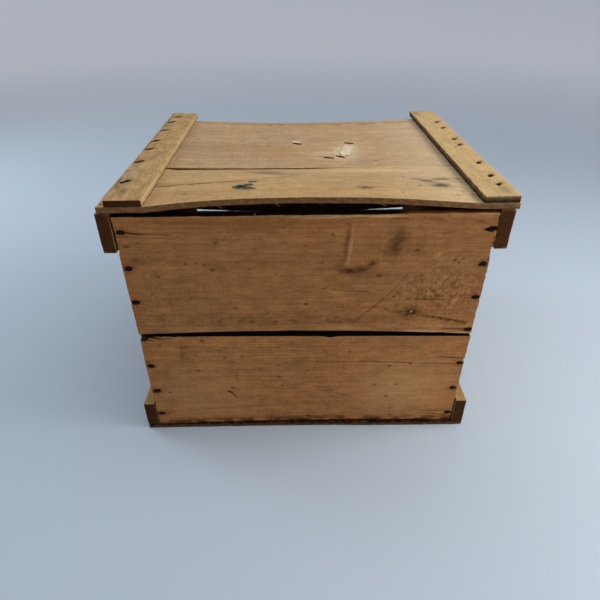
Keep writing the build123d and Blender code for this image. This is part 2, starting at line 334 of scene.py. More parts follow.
    def nails(self, node, axis, size=(4.2, 2.7), depth=0.9, turn=0.0, halo=1.7, dark=1.3):
        """Pocket and rust-stained halo round every nail of a CAD node."""
        swap = self.order[0] > self.order[1]
        for place in nail_places(node, axis):
            place = place[::-1] if swap else place
            self.pocket(place, size, depth, turn)
            self.mark("black", dark * (1 - smooth(0.75, 1.2, self.spot(place, size, turn, 0.25))))
            self.blot("stain_and_shade", place, (size[0] * halo, size[1] * halo), 0.75, turn)

    def shade_long_edges(self, low=0.0, high=0.0):
        """Painted shade on the two long narrow faces, which lie in the gaps between boards."""
        self.cover("dirt_and_shade", low * self.low_edge)
        self.cover("dirt_and_shade", high * self.high_edge)

    def rub_edges(self, amount):
        """Lighter wood where the outer arrises are worn."""
        inward = np.minimum(self.c - self.low[1], self.high[1] - self.c)
        uneven = smooth(-0.2, 0.7, noise(self.a / 21, self.c / 40, self.seed + 94))
        self.mark("pale", amount * (1 - smooth(0.3, 2.6, inward)) * uneven)

    def finish(self, material, body, slot, tone=0.3, pith=(0.45, 42.0), warp=0.35, lift=0.0):
        """Makes the piece: grain coordinates, surface waviness, marks, mesh and material."""
        width = self.high[1] - self.low[1]
        heart_c = self.low[1] + pith[0] * width + 5 * wander(self.a / 170, self.seed + 51)
        heart_t = (self.low[2] + self.high[2]) / 2 - self.outward * pith[1]
        rings = np.hypot(self.c - heart_c, self.t - heart_t) + RING_TAPER * self.a + self.ring_shift
        rings = rings + 1.3 * noise(self.a / 85, self.c / 26, self.seed + 61)
        shift = 31.7 * self.seed
        grain = np.stack([self.a + shift, rings, self.c + shift], axis=1)
        place = np.stack([self.a + shift, self.c, self.t + shift], axis=1)

        wave = warp * noise(self.a / 95, self.c / 33, self.seed + 71)
        wave = wave + 0.07 * noise(self.a / 24, self.c / 3.4, self.seed + 81)
        t = self.t + wave * np.where(self.end_grain, 0.6, 1.0)
        t = t - self.outward * self.depth * self.on_face + lift
        points = np.empty((len(t), 3))
        for axis, values in zip(self.order, (self.a, self.c, t)):
            points[:, axis] = values
        left_handed = self.order in ((0, 2, 1), (2, 1, 0), (1, 0, 2))
        quads = self.quads[:, ::-1] if left_handed else self.quads

        piece = mesh_object(
            self.node + "_wood", points, quads.tolist(), body, material, replaced=(self.node,)
        )
        paint = self.paint
        ends = self.end_grain.astype(float)
        tones = np.full(len(t), tone)
        marks = [paint["stain_and_shade"], paint["black"], paint["pale"], paint["amber"]]
        faces = [ends, paint["dirt_and_shade"], paint["ink"], tones]
        add_vectors(piece.data, "grain", grain)
        add_vectors(piece.data, "place", place)
        add_colours(piece.data, "marks", np.stack(marks, 1))
        add_colours(piece.data, "faces", np.stack(faces, 1))


# ================================================================ materials
class Graph:
    """Short-hand for building one material's nodes."""

    def __init__(self, name):
        self.material = bpy.data.materials.new(name)
        self.material.use_nodes = True
        self.tree = self.material.node_tree
        self.tree.nodes.clear()

    def node(self, kind, inputs, **settings):
        made = self.tree.nodes.new(kind)
        for key, value in settings.items():
            setattr(made, key, value)
        for key, value in inputs.items():
            if isinstance(value, bpy.types.NodeSocket):
                self.tree.links.new(value, made.inputs[key])
            else:
                made.inputs[key].default_value = value
        return made

    def attribute(self, name):
        return self.node("ShaderNodeAttribute", {}, attribute_name=name)

    def maths(self, operation, first, second=0.0, clamp=False):
        made = self.node("ShaderNodeMath", {0: first, 1: second}, operation=operation, use_clamp=clamp)
        return made.outputs[0]

    def times(self, first, second, clamp=False):
        return self.maths("MULTIPLY", first, second, clamp)

    def stretched(self, vector, sizes):
        """Coordinates in which one unit is the given number of millimetres each way."""
        factors = tuple(1.0 / size for size in sizes)
        made = self.node("ShaderNodeVectorMath", {0: vector, 1: factors}, operation="MULTIPLY")
        return made.outputs[0]

    def object_mm(self):
        """The piece's own coordinates in millimetres."""
        place = self.node("ShaderNodeTexCoord", {}).outputs["Object"]
        return self.stretched(place, (MM, MM, MM))

    def noise(self, vector, sizes, detail=3.0, roughness=0.55):
        """Noise whose features are about the given number of millimetres each way."""
        inputs = {"Vector": self.stretched(vector, sizes), "Scale": 1.0}
        inputs.update({"Detail": detail, "Roughness": roughness})
        return self.node("ShaderNodeTexNoise", inputs).outputs["Fac"]

    def step(self, value, low, high, at_low=0.0, at_high=1.0):
        """Eases from one value to another as the input goes from low to high."""
        inputs = {"Value": value, 1: low, 2: high, 3: at_low, 4: at_high}
        made = self.node("ShaderNodeMapRange", inputs, interpolation_type="SMOOTHSTEP")
        return made.outputs["Result"]

    def mix(self, factor, first, second, blend="MIX"):
        inputs = {0: factor, 6: first, 7: second}
        made = self.node("ShaderNodeMix", inputs, data_type="RGBA", blend_type=blend)
        return made.outputs[2]

    def split(self, colour):
        return self.node("ShaderNodeSeparateColor", {0: colour}).outputs

    def flecks(self, vector, sizes, share):
        """Small dark dots scattered one to a cell, in the given share of the cells."""
        inputs = {"Vector": self.stretched(vector, sizes), "Scale": 1.0, "Randomness": 1.0}
        cells = self.node("ShaderNodeTexVoronoi", inputs).outputs
        chance = self.split(cells["Color"])[0]
        radius = self.step(chance, 1 - share, 1.0, 0.0, 0.16)
        inside = self.maths("DIVIDE", cells["Distance"], self.maths("MAXIMUM", radius, 0.001))
        return self.step(inside, 0.6, 1.3, 1.0, 0.0)

    def finish(self, colour, roughness, height, bump_mm, strength=0.8, **constants):
        bump_inputs = {"Height": height, "Distance": bump_mm * MM, "Strength": strength}
        bump = self.node("ShaderNodeBump", bump_inputs)
        inputs = {"Base Color": colour, "Roughness": roughness, "Normal": bump.outputs[0]}
        shader = self.node("ShaderNodeBsdfPrincipled", {**inputs, **constants})
        self.node("ShaderNodeOutputMaterial", {"Surface": shader.outputs[0]})
        return self.material


def rgba(colour):
    return (*colour, 1.0)


def darker(colour, factor):
    return rgba(tuple(factor * part for part in colour))


STAIN_AND_SHADE = rgba((0.070, 0.026, 0.008))
BLACK = rgba((0.006, 0.003, 0.002))
AMBER = rgba((0.340, 0.105, 0.022))
# colour of the painted shade on faces that lie in shade
PAINTED_SHADE_COLOUR = rgba((0.062, 0.030, 0.013))
GREEN_INK = rgba((0.020, 0.034, 0.028))


def wood(name, early, late, patch, end, pale, ring=3.4, ring_depth=0.30, streak=0.10, mottle=0.17, saw=0.25,
         flecks=0.30, dirt_and_shade=0.35, specks=0.38):
    """Bare aged softwood.

    early and late are the two tones of a growth ring, patch the tone of broad other areas, end the
    end grain, and pale the tone of fresh or worn wood and of painted light. ring is the ring
    spacing in millimetres; the rest are how strong each kind of variation is.
    """
    graph = Graph(name)
    grain = graph.attribute("grain").outputs["Vector"]
    place = graph.attribute("place").outputs["Vector"]
    marks = graph.attribute("marks")
    faces = graph.attribute("faces")
    stain_and_shade, black, rubbed_and_lit = graph.split(marks.outputs["Color"])[:3]
    amber = marks.outputs["Alpha"]
    is_end, painted_shade, ink = graph.split(faces.outputs["Color"])[:3]
    tone = faces.outputs["Alpha"]
    axes = graph.node("ShaderNodeSeparateXYZ", {0: grain}).outputs

    drift = graph.noise(grain, (130, 9, 9), detail=2.0)
    radius = graph.maths("ADD", axes["Y"], graph.times(drift, 2.4))
    turns = graph.maths("FRACT", graph.maths("DIVIDE", radius, ring))
    rising = graph.step(turns, 0.15, 0.82)
    falling = graph.step(turns, 0.86, 1.0, 1.0, 0.0)
    late_wood = graph.times(rising, falling)

    fibre = graph.noise(grain, (30, 0.7, 0.7), detail=4.0, roughness=0.65)
    strand = graph.noise(grain, (150, 4.5, 4.5), detail=3.0)
    broad = graph.noise(place, (95, 45, 45), detail=4.0, roughness=0.6)
    cloud = graph.noise(place, (15, 9, 9), detail=6.0, roughness=0.72)
    fine = graph.noise(place, (2.6, 1.5, 1.5), detail=3.0, roughness=0.6)
    saw_line = graph.noise(place, (1.4, 60, 60), detail=2.0)
    saw_area = graph.step(graph.noise(place, (75, 50, 50)), 0.42, 0.62)

    colour = graph.mix(graph.times(late_wood, ring_depth), rgba(early), rgba(late))
    other = graph.maths("ADD", graph.step(broad, 0.38, 0.68, -0.35, 0.35), tone, clamp=True)
    colour = graph.mix(other, colour, rgba(patch))
    shade = graph.step(strand, 0.30, 0.72, 1 - streak, 1 + streak)
    shade = graph.times(shade, graph.step(fibre, 0.28, 0.72, 0.85, 1.13))
    shade = graph.times(shade, graph.step(cloud, 0.32, 0.68, 1 - mottle, 1 + mottle))
    shade = graph.times(shade, graph.step(fine, 0.30, 0.70, 0.89, 1.09))
    cut = graph.times(graph.step(saw_line, 0.35, 0.65, -1.0, 1.0), saw_area)
    shade = graph.times(shade, graph.maths("ADD", 1.0, graph.times(cut, saw * 0.25)))
    grime_clouds = graph.noise(place, (48, 22, 22), 6.0, 0.7)
    dusk = graph.step(grime_clouds, 0.54, 0.76, 0.0, dirt_and_shade)
    shade = graph.times(shade, graph.maths("SUBTRACT", 1.0, dusk))
    speck_area = graph.step(graph.noise(place, (26, 14, 14)), 0.40, 0.65, 0.25, 1.0)
    speck_noise = graph.noise(place, (3.6, 1.1, 1.1), 3.0, 0.6)
    speckled = graph.times(graph.step(speck_noise, 0.56, 0.70, 0.0, specks), speck_area)
    shade = graph.times(shade, graph.maths("SUBTRACT", 1.0, speckled))
    grey = graph.node("ShaderNodeCombineColor", {0: shade, 1: shade, 2: shade}).outputs[0]
    colour = graph.mix(1.0, colour, grey, "MULTIPLY")

    end_rings = graph.mix(late_wood, rgba(end), darker(end, 0.5))
    end_tone = graph.mix(graph.step(cloud, 0.35, 0.65), end_rings, darker(end, 0.6))
    end_tone = graph.mix(graph.step(fine, 0.55, 0.75), end_tone, darker(end, 1.7))
    colour = graph.mix(is_end, colour, end_tone)

    broken = graph.step(graph.noise(place, (6, 3, 3), detail=4.0), 0.25, 0.75, 0.75, 1.25)
    dots = graph.flecks(place, (19, 11, 11), flecks)
    small_dots = graph.flecks(place, (9, 5, 5), flecks * 0.6)
    dots = graph.times(graph.maths("MAXIMUM", dots, small_dots), 0.7)
    colour = graph.mix(graph.times(amber, 0.55), colour, AMBER)
    # pale: fresh and worn wood, and painted light
    colour = graph.mix(graph.times(rubbed_and_lit, broken, clamp=True), colour, rgba(pale))
    stain_and_shade_amount = graph.times(stain_and_shade, broken, clamp=True)
    # dark stains, and painted shade where the stain kind is used for it
    colour = graph.mix(graph.maths("MAXIMUM", stain_and_shade_amount, dots), colour, STAIN_AND_SHADE)
    # painted shade on narrow faces in the gaps, on end grain and on a lid cleat's inner side
    colour = graph.mix(graph.times(painted_shade, broken, clamp=True), colour, PAINTED_SHADE_COLOUR)
    colour = graph.mix(graph.times(ink, broken, clamp=True), colour, GREEN_INK)
    colour = graph.mix(graph.times(black, broken, clamp=True), colour, BLACK)

    height = graph.times(fibre, 0.55)
    height = graph.maths("ADD", height, graph.times(late_wood, 0.20))
    height = graph.maths("ADD", height, graph.times(cut, saw * 0.6))
    height = graph.maths("ADD", height, graph.times(fine, 0.4))
    height = graph.maths("SUBTRACT", height, graph.times(dots, 0.6))
    roughness = graph.step(broad, 0.2, 0.8, 0.74, 0.92)
    return graph.finish(colour, roughness, height, bump_mm=0.40, **{"Specular IOR Level": 0.06})


def rusty_iron():
    """Nail iron, rusted brown-black."""
    graph = Graph("rusty_iron")
    place = graph.object_mm()
    coarse = graph.noise(place, (1.6, 1.6, 1.6), detail=5.0, roughness=0.7)
    fine = graph.noise(place, (0.35, 0.35, 0.35), detail=3.0)
    blackened = rgba((0.007, 0.004, 0.003))
    rust = rgba((0.026, 0.010, 0.005))
    colour = graph.mix(graph.step(coarse, 0.35, 0.7), blackened, rust)
    colour = graph.mix(graph.step(fine, 0.6, 0.75), colour, rgba((0.060, 0.023, 0.009)))
    height = graph.maths("ADD", coarse, graph.times(fine, 0.4))
    roughness = graph.step(coarse, 0.3, 0.7, 0.60, 0.88)
    return graph.finish(colour, roughness, height, bump_mm=0.25, **{"Specular IOR Level": 0.04})


def staple_wire():
    """Thin wire, tarnished dark."""
    graph = Graph("staple_wire")
    spots = graph.noise(graph.object_mm(), (1.1, 1.1, 1.1), detail=4.0)
    tarnish = rgba((0.012, 0.007, 0.005))
    colour = graph.mix(graph.step(spots, 0.4, 0.65), tarnish, BLACK)
    return graph.finish(colour, 0.8, spots, bump_mm=0.08, **{"Specular IOR Level": 0.15})


def paper():
    """Torn label paper, weathered."""
    graph = Graph("label_paper")
    place = graph.object_mm()
    fibres = graph.noise(place, (1.4, 1.4, 1.4), detail=5.0, roughness=0.7)
    clouds = graph.noise(place, (7, 7, 7), detail=4.0)
    clean = rgba((0.680, 0.590, 0.440))
    yellowed = rgba((0.560, 0.450, 0.300))
    soiled = rgba((0.400, 0.290, 0.170))
    colour = graph.mix(graph.step(clouds, 0.35, 0.65), clean, yellowed)
    colour = graph.mix(graph.step(fibres, 0.52, 0.75, 0.0, 0.6), colour, soiled)
    return graph.finish(colour, 0.9, fibres, bump_mm=0.15, **{"Specular IOR Level": 0.2})


SIDE_WOOD = wood(
    "side_wood",
    early=(0.345, 0.150, 0.051),
    late=(0.235, 0.092, 0.028),
    patch=(0.280, 0.132, 0.053),
    end=(0.130, 0.062, 0.028),
    pale=(0.560, 0.320, 0.140),
    saw=0.26,
    flecks=0.40,
)
LID_WOOD = wood(
    "lid_wood",
    early=(0.480, 0.305, 0.142),
    late=(0.385, 0.222, 0.090),
    patch=(0.430, 0.288, 0.168),
    end=(0.170, 0.090, 0.042),
    pale=(0.640, 0.500, 0.320),
    flecks=0.10,
    mottle=0.11,
    dirt_and_shade=0.15,
    specks=0.16,
)
LID_CLEAT_WOOD = wood(
    "lid_cleat_wood",
    early=(0.450, 0.275, 0.115),
    late=(0.325, 0.178, 0.066),
    patch=(0.390, 0.262, 0.140),
    end=(0.054, 0.022, 0.008),
    pale=(0.600, 0.450, 0.240),
    ring=2.6,
    mottle=0.22,
    flecks=0.2,
    dirt_and_shade=0.3,
)
END_WOOD = wood(
    "end_wood",
    early=(0.370, 0.190, 0.080),
    late=(0.260, 0.120, 0.045),
    patch=(0.320, 0.165, 0.075),
    end=(0.130, 0.066, 0.032),
    pale=(0.520, 0.310, 0.150),
    saw=0.6,
)
CLEAT_WOOD = wood(
    "cleat_wood",
    early=(0.330, 0.185, 0.078),
    late=(0.230, 0.112, 0.044),
    patch=(0.270, 0.150, 0.065),
    end=(0.080, 0.029, 0.010),
    pale=(0.540, 0.380, 0.180),
    ring=2.8,
    dirt_and_shade=0.5,
)
BOTTOM_WOOD = wood(
    "bottom_wood",
    early=(0.320, 0.150, 0.065),
    late=(0.230, 0.098, 0.038),
    patch=(0.280, 0.130, 0.062),
    end=(0.120, 0.060, 0.030),
    pale=(0.440, 0.250, 0.120),
    saw=0.7,
)
NAIL_IRON = rusty_iron()
STAPLE_WIRE = staple_wire()
PAPER = paper()


# ================================================================ side boards
SIDE_LEFT = -188.5
SIDE_RIGHT = 188.5
NAIL_COLUMNS = ((-182.7, 6.0), (182.7, 6.0))


def side_board(node, nails, outward, seed, step, crack_rows):
    """Side board lattice with finer rows and columns round its nails and cracks."""
    rows = [(z, 5.5) for x, z in nail_places(nails, Y)]
    rows += [(z, 2.0) for z in crack_rows]
    return Board(node, X, Z, outward, seed, step, NAIL_COLUMNS, rows)


def front_upper_board():
    nails = "side_nails_front_upper"
    cracks = (195, 208, 260, 264, 268, 272, 276)
    board = side_board("side_board_front_upper", nails, -1, 3, (1.5, 1.5), cracks)
    low = parabola(board.a, SIDE_LEFT, SIDE_RIGHT, 153.6, 155.9, 147.9)
    board.move_long_edges(low, np.full_like(low, board.high[1]))
    board.roughen_outline(end=0.8)
    # end grain chewed away at the upper right
    chewed = smooth(236, 246, board.c) * (1 - smooth(0, 4, board.high[0] - board.a))
    board.a = board.a - chewed * (0.4 + 1.5 * np.maximum(wander(board.c / 3.0, 305), -0.2))
    board.mark("stain_and_shade", 0.9 * chewed * smooth(0.0, 0.5, noise(board.c / 3.0, board.a / 3.0, 306)))
    # painted shade: dark lower narrow face in the gap above the lower board, and a black top narrow face
    # under the lid, fading out towards the right
    board.shade_long_edges(low=1.0)
    board.cover("black", board.high_edge * (1.4 - 1.0 * smooth(70, 110, board.a)))
    board.nails(nails, Y)
    # splits at the nails and along the lower edge
    board.grooves((
        (-182, 279.5, -160, 278.0, 1.6, 1.4),
        (-164, 278.2, -134, 276.6, 1.0, 0.8, 0.6),
        (176, 278.0, 192, 280.5, 3.4, 4.5, 1.3, "black"),
        (152, 155.5, 186, 155.5, 1.3, 1.2),
        (140, 150, 186, 153, 1.0, 0.8, 0.7),
    ))
    # seasoning cracks and the long diagonal scratch
    board.grooves((
        (12, 212.5, 40, 209, 0.9, 0.5, 0.75),
        (38, 209, 67, 207.5, 1.1, 0.6, 0.85),
        (108, 198, 128, 196.6, 1.0, 0.5, 0.8),
        (126, 196.8, 157, 194.6, 0.9, 0.5, 0.6),
        (106, 229, 84, 199, 1.2, 0.35, 0.6),
        (84, 199, 49, 164, 1.4, 0.45, 0.75),
    ))
    # dent running down from the top edge, pale inside with a painted highlight and dark along its left side
    # with a painted shadow, with a smear at its foot
    board.groove((46.8, 289), (42.5, 240), 3.6, 0.5, 0.0)
    board.blot("pale", (44.9, 262), (1.8, 26), 0.5, -5)
    board.blot("stain_and_shade", (40.6, 266), (2.6, 28), 0.65, -5)
    board.blot("black", (45, 232.5), (7, 2.2), 0.25)
    board.blots("stain_and_shade", (
        (45, 233.5, 11, 4.5, 1.0),
        (56, 235, 12, 5.5, 0.9, 10),
        (66, 240, 9, 4.5, 0.9, 35),
        (36, 238, 12, 4.0, 0.4),
    ))
    # stack of short scratches like the teeth of a comb
    for tooth in range(9):
        z = 251.5 + 3.0 * tooth
        board.groove((80 + 1.2 * tooth, z), (94 + 1.2 * tooth, z + 0.5), 1.5, 0.12, 0.6)
    board.blot("stain_and_shade", (90, 265), (9, 14), 0.8, -20)
    # knot with a trail of bruises
    board.knot((115, 180), 5.0)
    board.blot("stain_and_shade", (114, 180.5), (12, 8), 0.9)
    board.blot("black", (114.5, 180), (5, 4), 0.75)
    board.blot("pale", (115.5, 180.5), (1.8, 2.2), 1.0)
    board.clear((115.5, 180.5), (1.3, 1.7))
    board.blot("stain_and_shade", (102, 181), (10, 4), 0.7)
    trail = 1 - smooth(0.3, 1.4, board.streak((122, 176), (182, 164), 4.5))
    board.mark("stain_and_shade", 0.9 * trail * smooth(-0.5, 0.3, noise(board.a / 3, board.c / 2, 307)))
    board.blots("stain_and_shade", (
        (130, 175, 4.0, 1.6, 1.0, -14),
        (141, 172.5, 4.5, 1.6, 1.0, -14),
        (147, 171, 5.0, 1.6, 1.0, -14),
        (158, 168, 4.0, 1.6, 1.0, -14),
        (168, 166.5, 5.0, 1.6, 1.0, -14),
        (177, 163, 4.0, 1.6, 1.0, -14),
    ))
    # smudges under the top edge, small dots
    board.blots("stain_and_shade", ((122, 291, 14, 1.8, 0.5, -8), (168, 288, 10, 2.2, 0.6, -6)))
    by_the_knot = ((86.6, 185.7), (89, 183))
    near_the_right = ((153, 245), (157, 242), (161, 246), (178, 206), (181, 203), (184, 201))
    board.dots(by_the_knot + near_the_right, (1.8, 1.5), 0.9)
    upper_dots = ((-181, 264.6), (-177.8, 264.4), (25.7, 275.6), (16, 243.6), (-90.7, 267.6))
    middle_dots = ((-123.9, 244), (-104.4, 242.2), (-163.4, 207.5))
    lower_dots = ((-71, 171.4), (-74, 166.5), (-41.8, 182))
    board.dots(upper_dots + middle_dots + lower_dots, (1.7, 1.4), 0.9)
    # mottled worn area at the right, clouds of grime along the lower edge
    rough = np.exp(-1.0 * board.spot((142, 206), (46, 34)) ** 2)
    board.mark("stain_and_shade", 0.60 * rough * smooth(0.1, 0.7, noise(board.a / 2.2, board.c / 3.4, 301)))
    board.mark("pale", 0.40 * rough * smooth(0.15, 0.8, noise(board.a / 1.8, board.c / 3.0, 302)))
    board.blot("pale", (135, 251), (4, 4), 0.45)
    board.blot("pale", (-164, 230), (3, 3), 0.35)
    low_band = np.exp(-(((board.c - 171) / 9) ** 2))
    low_band = low_band * smooth(-160, -60, board.a) * (1 - smooth(20, 120, board.a))
    board.mark("stain_and_shade", 0.50 * low_band * smooth(-0.3, 0.8, noise(board.a / 4, board.c / 5, 303)))
    board.mark("stain_and_shade", 0.25 * low_band)
    lip = smooth(100, 130, board.a) * (1 - smooth(1.5, 5.0, board.c - low))
    board.mark("pale", 0.7 * lip)
    pale_low = np.exp(-(((board.c - 160) / 4.5) ** 2)) * smooth(-170, -120, board.a)
    board.mark("pale", 0.28 * pale_low * smooth(-0.5, 0.6, noise(board.a / 14, board.c / 9, 304)))
    # reddish wood under the top edge at the left, fresh pale strip along it in the middle
    board.blot("amber", (-128, 294), (40, 3.2), 0.9)
    board.blot("stain_and_shade", (-110, 289.5), (60, 2.2), 0.35)
    board.blot("amber", (-60, 288), (150, 9), 0.5)
    board.blot("stain_and_shade", (-60, 289), (150, 6), 0.18)
    strip = np.exp(-(((board.c - 294.2) / 1.2) ** 2))
    board.mark("pale", strip * smooth(-25, 0, board.a) * (1 - smooth(85, 102, board.a)))
    board.blot("amber", (40, 294.2), (62, 2.2), 0.7)
    board.groove((-25, 296), (98, 291.5), 1.2, 0.7, 0.5)
    for z, size in ((249, 9), (214, 14), (180, 10)):
        board.blot("amber", (-183, z), (4.5, size), 0.9)
    board.blot("ink", (0, 222), (110, 50), 0.09, 0, 0.1)
    board.rub_edges(0.30)
    board.finish(SIDE_WOOD, "box", "side_wood", pith=(0.55, 60.0))


def front_lower_board():
    nails = "side_nails_front_lower"
    board = side_board("side_board_front_lower", nails, -1, 7, (1.5, 1.5), (108, 103, 113, 23))
    low = parabola(board.a, SIDE_LEFT, SIDE_RIGHT, 6.0, 10.2, 6.0)
    high = parabola(board.a, SIDE_LEFT, SIDE_RIGHT, 151.0, 148.3, 145.2)
    # notch in the top edge, broken upper left corner, chip out of the right end
    notch = 1.7 * np.exp(-(((board.a - 27) / 7) ** 2))
    corner = 5.5 * (1 - smooth(-188.5, -183.0, board.a))
    board.move_long_edges(low, high)
    near_top = 1 - smooth(0, 9, high - board.c)
    board.c = board.c - (notch + corner) * near_top
    board.roughen_outline()
    chip = 1.6 * np.exp(-(((board.c - 109) / 2.5) ** 2)) * smooth(181, 188, board.a)
    board.a = board.a - chip
    # painted shade: black top narrow face and dark lower narrow face, which lie in the gaps above and below
    # the board
    board.cover("black", 1.4 * board.high_edge)
    board.shade_long_edges(low=1.0)
    board.nails(nails, Y)
    # broken corner and its splits
    board.grooves((
        (-182, 150, -164, 147.4, 2.4, 1.8, 1.0, "black"),
        (-165, 147.6, -152, 146.6, 1.2, 0.8),
        (-184, 146, -172, 144.6, 1.4, 1.0),
    ))
    board.blot("pale", (-187, 147), (2.5, 2.0), 0.7)
    # long crack to the right end, short one above it, cracks at the lowest nail
    board.grooves((
        (5, 109.4, 75, 108.6, 0.9, 0.6, 0.75),
        (72, 108.7, 126, 105.4, 1.2, 0.9, 0.9),
        (124, 105.5, 189, 102.3, 1.0, 0.8, 0.8),
        (150, 115, 188, 111.0, 1.2, 0.9, 0.9),
        (-178, 27, -165, 26.2, 1.1, 0.9),
        (143, 24, 186, 22.8, 1.2, 0.8),
        (141, 20.8, 165, 18, 1.0, 0.6, 0.7),
        (160, 18.5, 188, 12.5, 1.2, 0.8),
    ))
    # curved gouge, scratches and scattered bruises
    board.grooves((
        (-96, 64.4, -90, 60, 2.4, 0.7, 1.0, "black"),
        (-91, 60.5, -85.5, 52, 2.0, 0.7, 0.95),
        (-84, 100, -83, 79, 1.3, 0.3, 0.5),
        (-117, 127.5, -86, 131.5, 1.3, 0.2, 0.55),
        (107.6, 38, 107, 25, 1.4, 0.2, 0.5),
        (102, 30, 114, 31, 1.2, 0.2, 0.5),
    ))
    board.blots("stain_and_shade", (
        (182, 103, 5, 2.6, 0.8),
        (-140, 134, 6, 3, 0.6),
        (-144, 124, 2.6, 9, 0.5, -10),
        (-17, 137, 16, 5, 0.35),
    ))
    left_bruises = ((-118.7, 143.6, 2.6), (-95, 118, 1.8), (-75, 119, 1.7), (-87, 111.5, 2.0), (-29, 72, 1.9))
    right_bruises = ((51, 124.2, 2.6), (78, 129, 1.6), (124, 104.5, 2.6), (84, 71, 2.0), (110.6, 71, 2.0))
    board.bruises(left_bruises + right_bruises, 0.95)
    left_foot = ((-150, 12), (-136, 12.7), (-116, 15.4), (-109.6, 14.1), (-102, 15), (-96, 16), (-70, 14))
    right_foot = ((3, 18), (40, 15), (92, 14), (126, 13))
    board.dots(left_foot + right_foot, (4.6, 1.7), 0.95)
    foot = 1 - smooth(1.0, 13.0, board.c - low)
    board.mark("stain_and_shade", 1.0 * foot * smooth(-0.7, 0.3, noise(board.a / 9, board.c / 4, 311)))
    board.mark("amber", 0.5 * (1 - smooth(2.0, 14.0, board.c - low)))
    for z, size in ((126, 12), (84, 10), (58, 6)):
        board.blot("amber", (-184, z), (5, size), 0.8)
    board.blot("amber", (176, 44), (10, 26), 0.5)
    # paler wood with painted light: broad pale patches at the right and left stand in part for light from the
    # right and from the floor
    board.blot("pale", (125, 66), (62, 46), 0.38, 0, 0.1)
    board.blot("pale", (-120, 60), (60, 50), 0.16, 0, 0.1)
    board.rub_edges(0.35)
    board.finish(SIDE_WOOD, "box", "side_wood", tone=0.2, pith=(0.35, 45.0))


def rear_upper_board():
    nails = "side_nails_rear_upper"
    board = side_board("side_board_rear_upper", nails, 1, 13, (2.2, 2.2), (240, 186))
    low = parabola(board.a, SIDE_LEFT, SIDE_RIGHT, 160.5, 153.6, 160.0)
    board.move_long_edges(low, np.full_like(low, board.high[1]))
    board.roughen_outline()
    # painted shade on both long narrow faces, in the gaps
    board.shade_long_edges(low=0.8, high=0.3)
    board.nails(nails, Y)
    board.groove((-183, 238), (-120, 241), 1.4, 1.2)
    board.groove((60, 188), (182, 184), 1.2, 0.7)
    board.groove((-60, 262), (-12, 222), 1.6, 0.4, 0.6)
    board.knot((-72, 212), 7.0)
    board.blot("stain_and_shade", (40, 262), (50, 16), 0.35, 5)
    board.bruises(((-20, 190, 3), (96, 250, 2.5), (130, 214, 3), (-132, 268, 2.4), (10, 176, 3)), 0.9)
    board.blot("amber", (183, 221), (5, 18), 0.8)
    board.blot("amber", (-183, 186), (5, 12), 0.8)
    board.rub_edges(0.35)
    board.finish(SIDE_WOOD, "box", "side_wood", tone=0.45, pith=(0.4, 50.0))


def rear_lower_board():
    nails = "side_nails_rear_lower"
    board = side_board("side_board_rear_lower", nails, 1, 17, (2.2, 2.2), (50, 95))
    low = parabola(board.a, SIDE_LEFT, SIDE_RIGHT, 6.0, 8.0, 6.0)
    high = parabola(board.a, SIDE_LEFT, SIDE_RIGHT, 153.4, 152.0, 153.0)
    board.move_long_edges(low, high)
    board.roughen_outline()
    # painted shade on both long narrow faces, in the gaps
    board.shade_long_edges(low=0.9, high=0.8)
    board.nails(nails, Y)
    board.groove((-30, 52), (88, 49), 1.2, 0.8)
    board.groove((183, 96), (140, 94), 1.4, 1.2)
    board.knot((98, 88), 6.0)
    board.knot((-128, 41), 4.5)
    board.blot("stain_and_shade", (0, 14), (170, 7), 0.4)
    board.bruises(((-60, 120, 3), (36, 101, 2.4), (150, 132, 2.6), (-150, 84, 2.5), (62, 26, 3)), 0.9)
    board.blot("amber", (-184, 110), (5, 20), 0.8)
    board.rub_edges(0.3)
    board.finish(SIDE_WOOD, "box", "side_wood", tone=0.1, pith=(0.6, 38.0))


# ================================================================ ends, cleats and bottom
BOTTOM_SKEW = 2.6  # how far the front bottom board stands forward at its right end


def end_boards():
    for end, outward in (("left", -1), ("right", 1)):
        for level, seed in (("lower", 23), ("upper", 29)):
            node = f"end_board_{end}_{level}"
            board = Board(node, Y, Z, outward, seed + outward, (2.6, 2.4))
            board.roughen_outline(edge=0.35, end=0.2)
            middle = (board.low[1] + board.high[1]) / 2
            # painted shade on the long narrow faces in the gaps, and on the end grain, which lies in shade
            board.shade_long_edges(low=0.8, high=0.4)
            board.cover("dirt_and_shade", 0.8 * board.end_grain)
            board.knot((40 * outward, middle + 18), 6.0)
            board.knot((-96 * outward, middle - 22), 4.0)
            board.groove((-60, middle - 5), (70, middle - 9), 1.4, 0.8)
            board.groove((20, middle + 34), (-20, middle + 12), 1.8, 0.3, 0.5)
            board.blot("stain_and_shade", (0, middle), (90, 30), 0.2)
            bruises = ((-130, 24, 3), (112, -31, 2.6), (66, 40, 2.4), (-20, -38, 3))
            board.bruises([(y, middle + shift, size) for y, shift, size in bruises], 0.9)
            tone = 0.2 + 0.02 * seed % 0.3
            board.finish(END_WOOD, "box", "end_wood", tone, pith=(0.4, 50.0), warp=0.25)


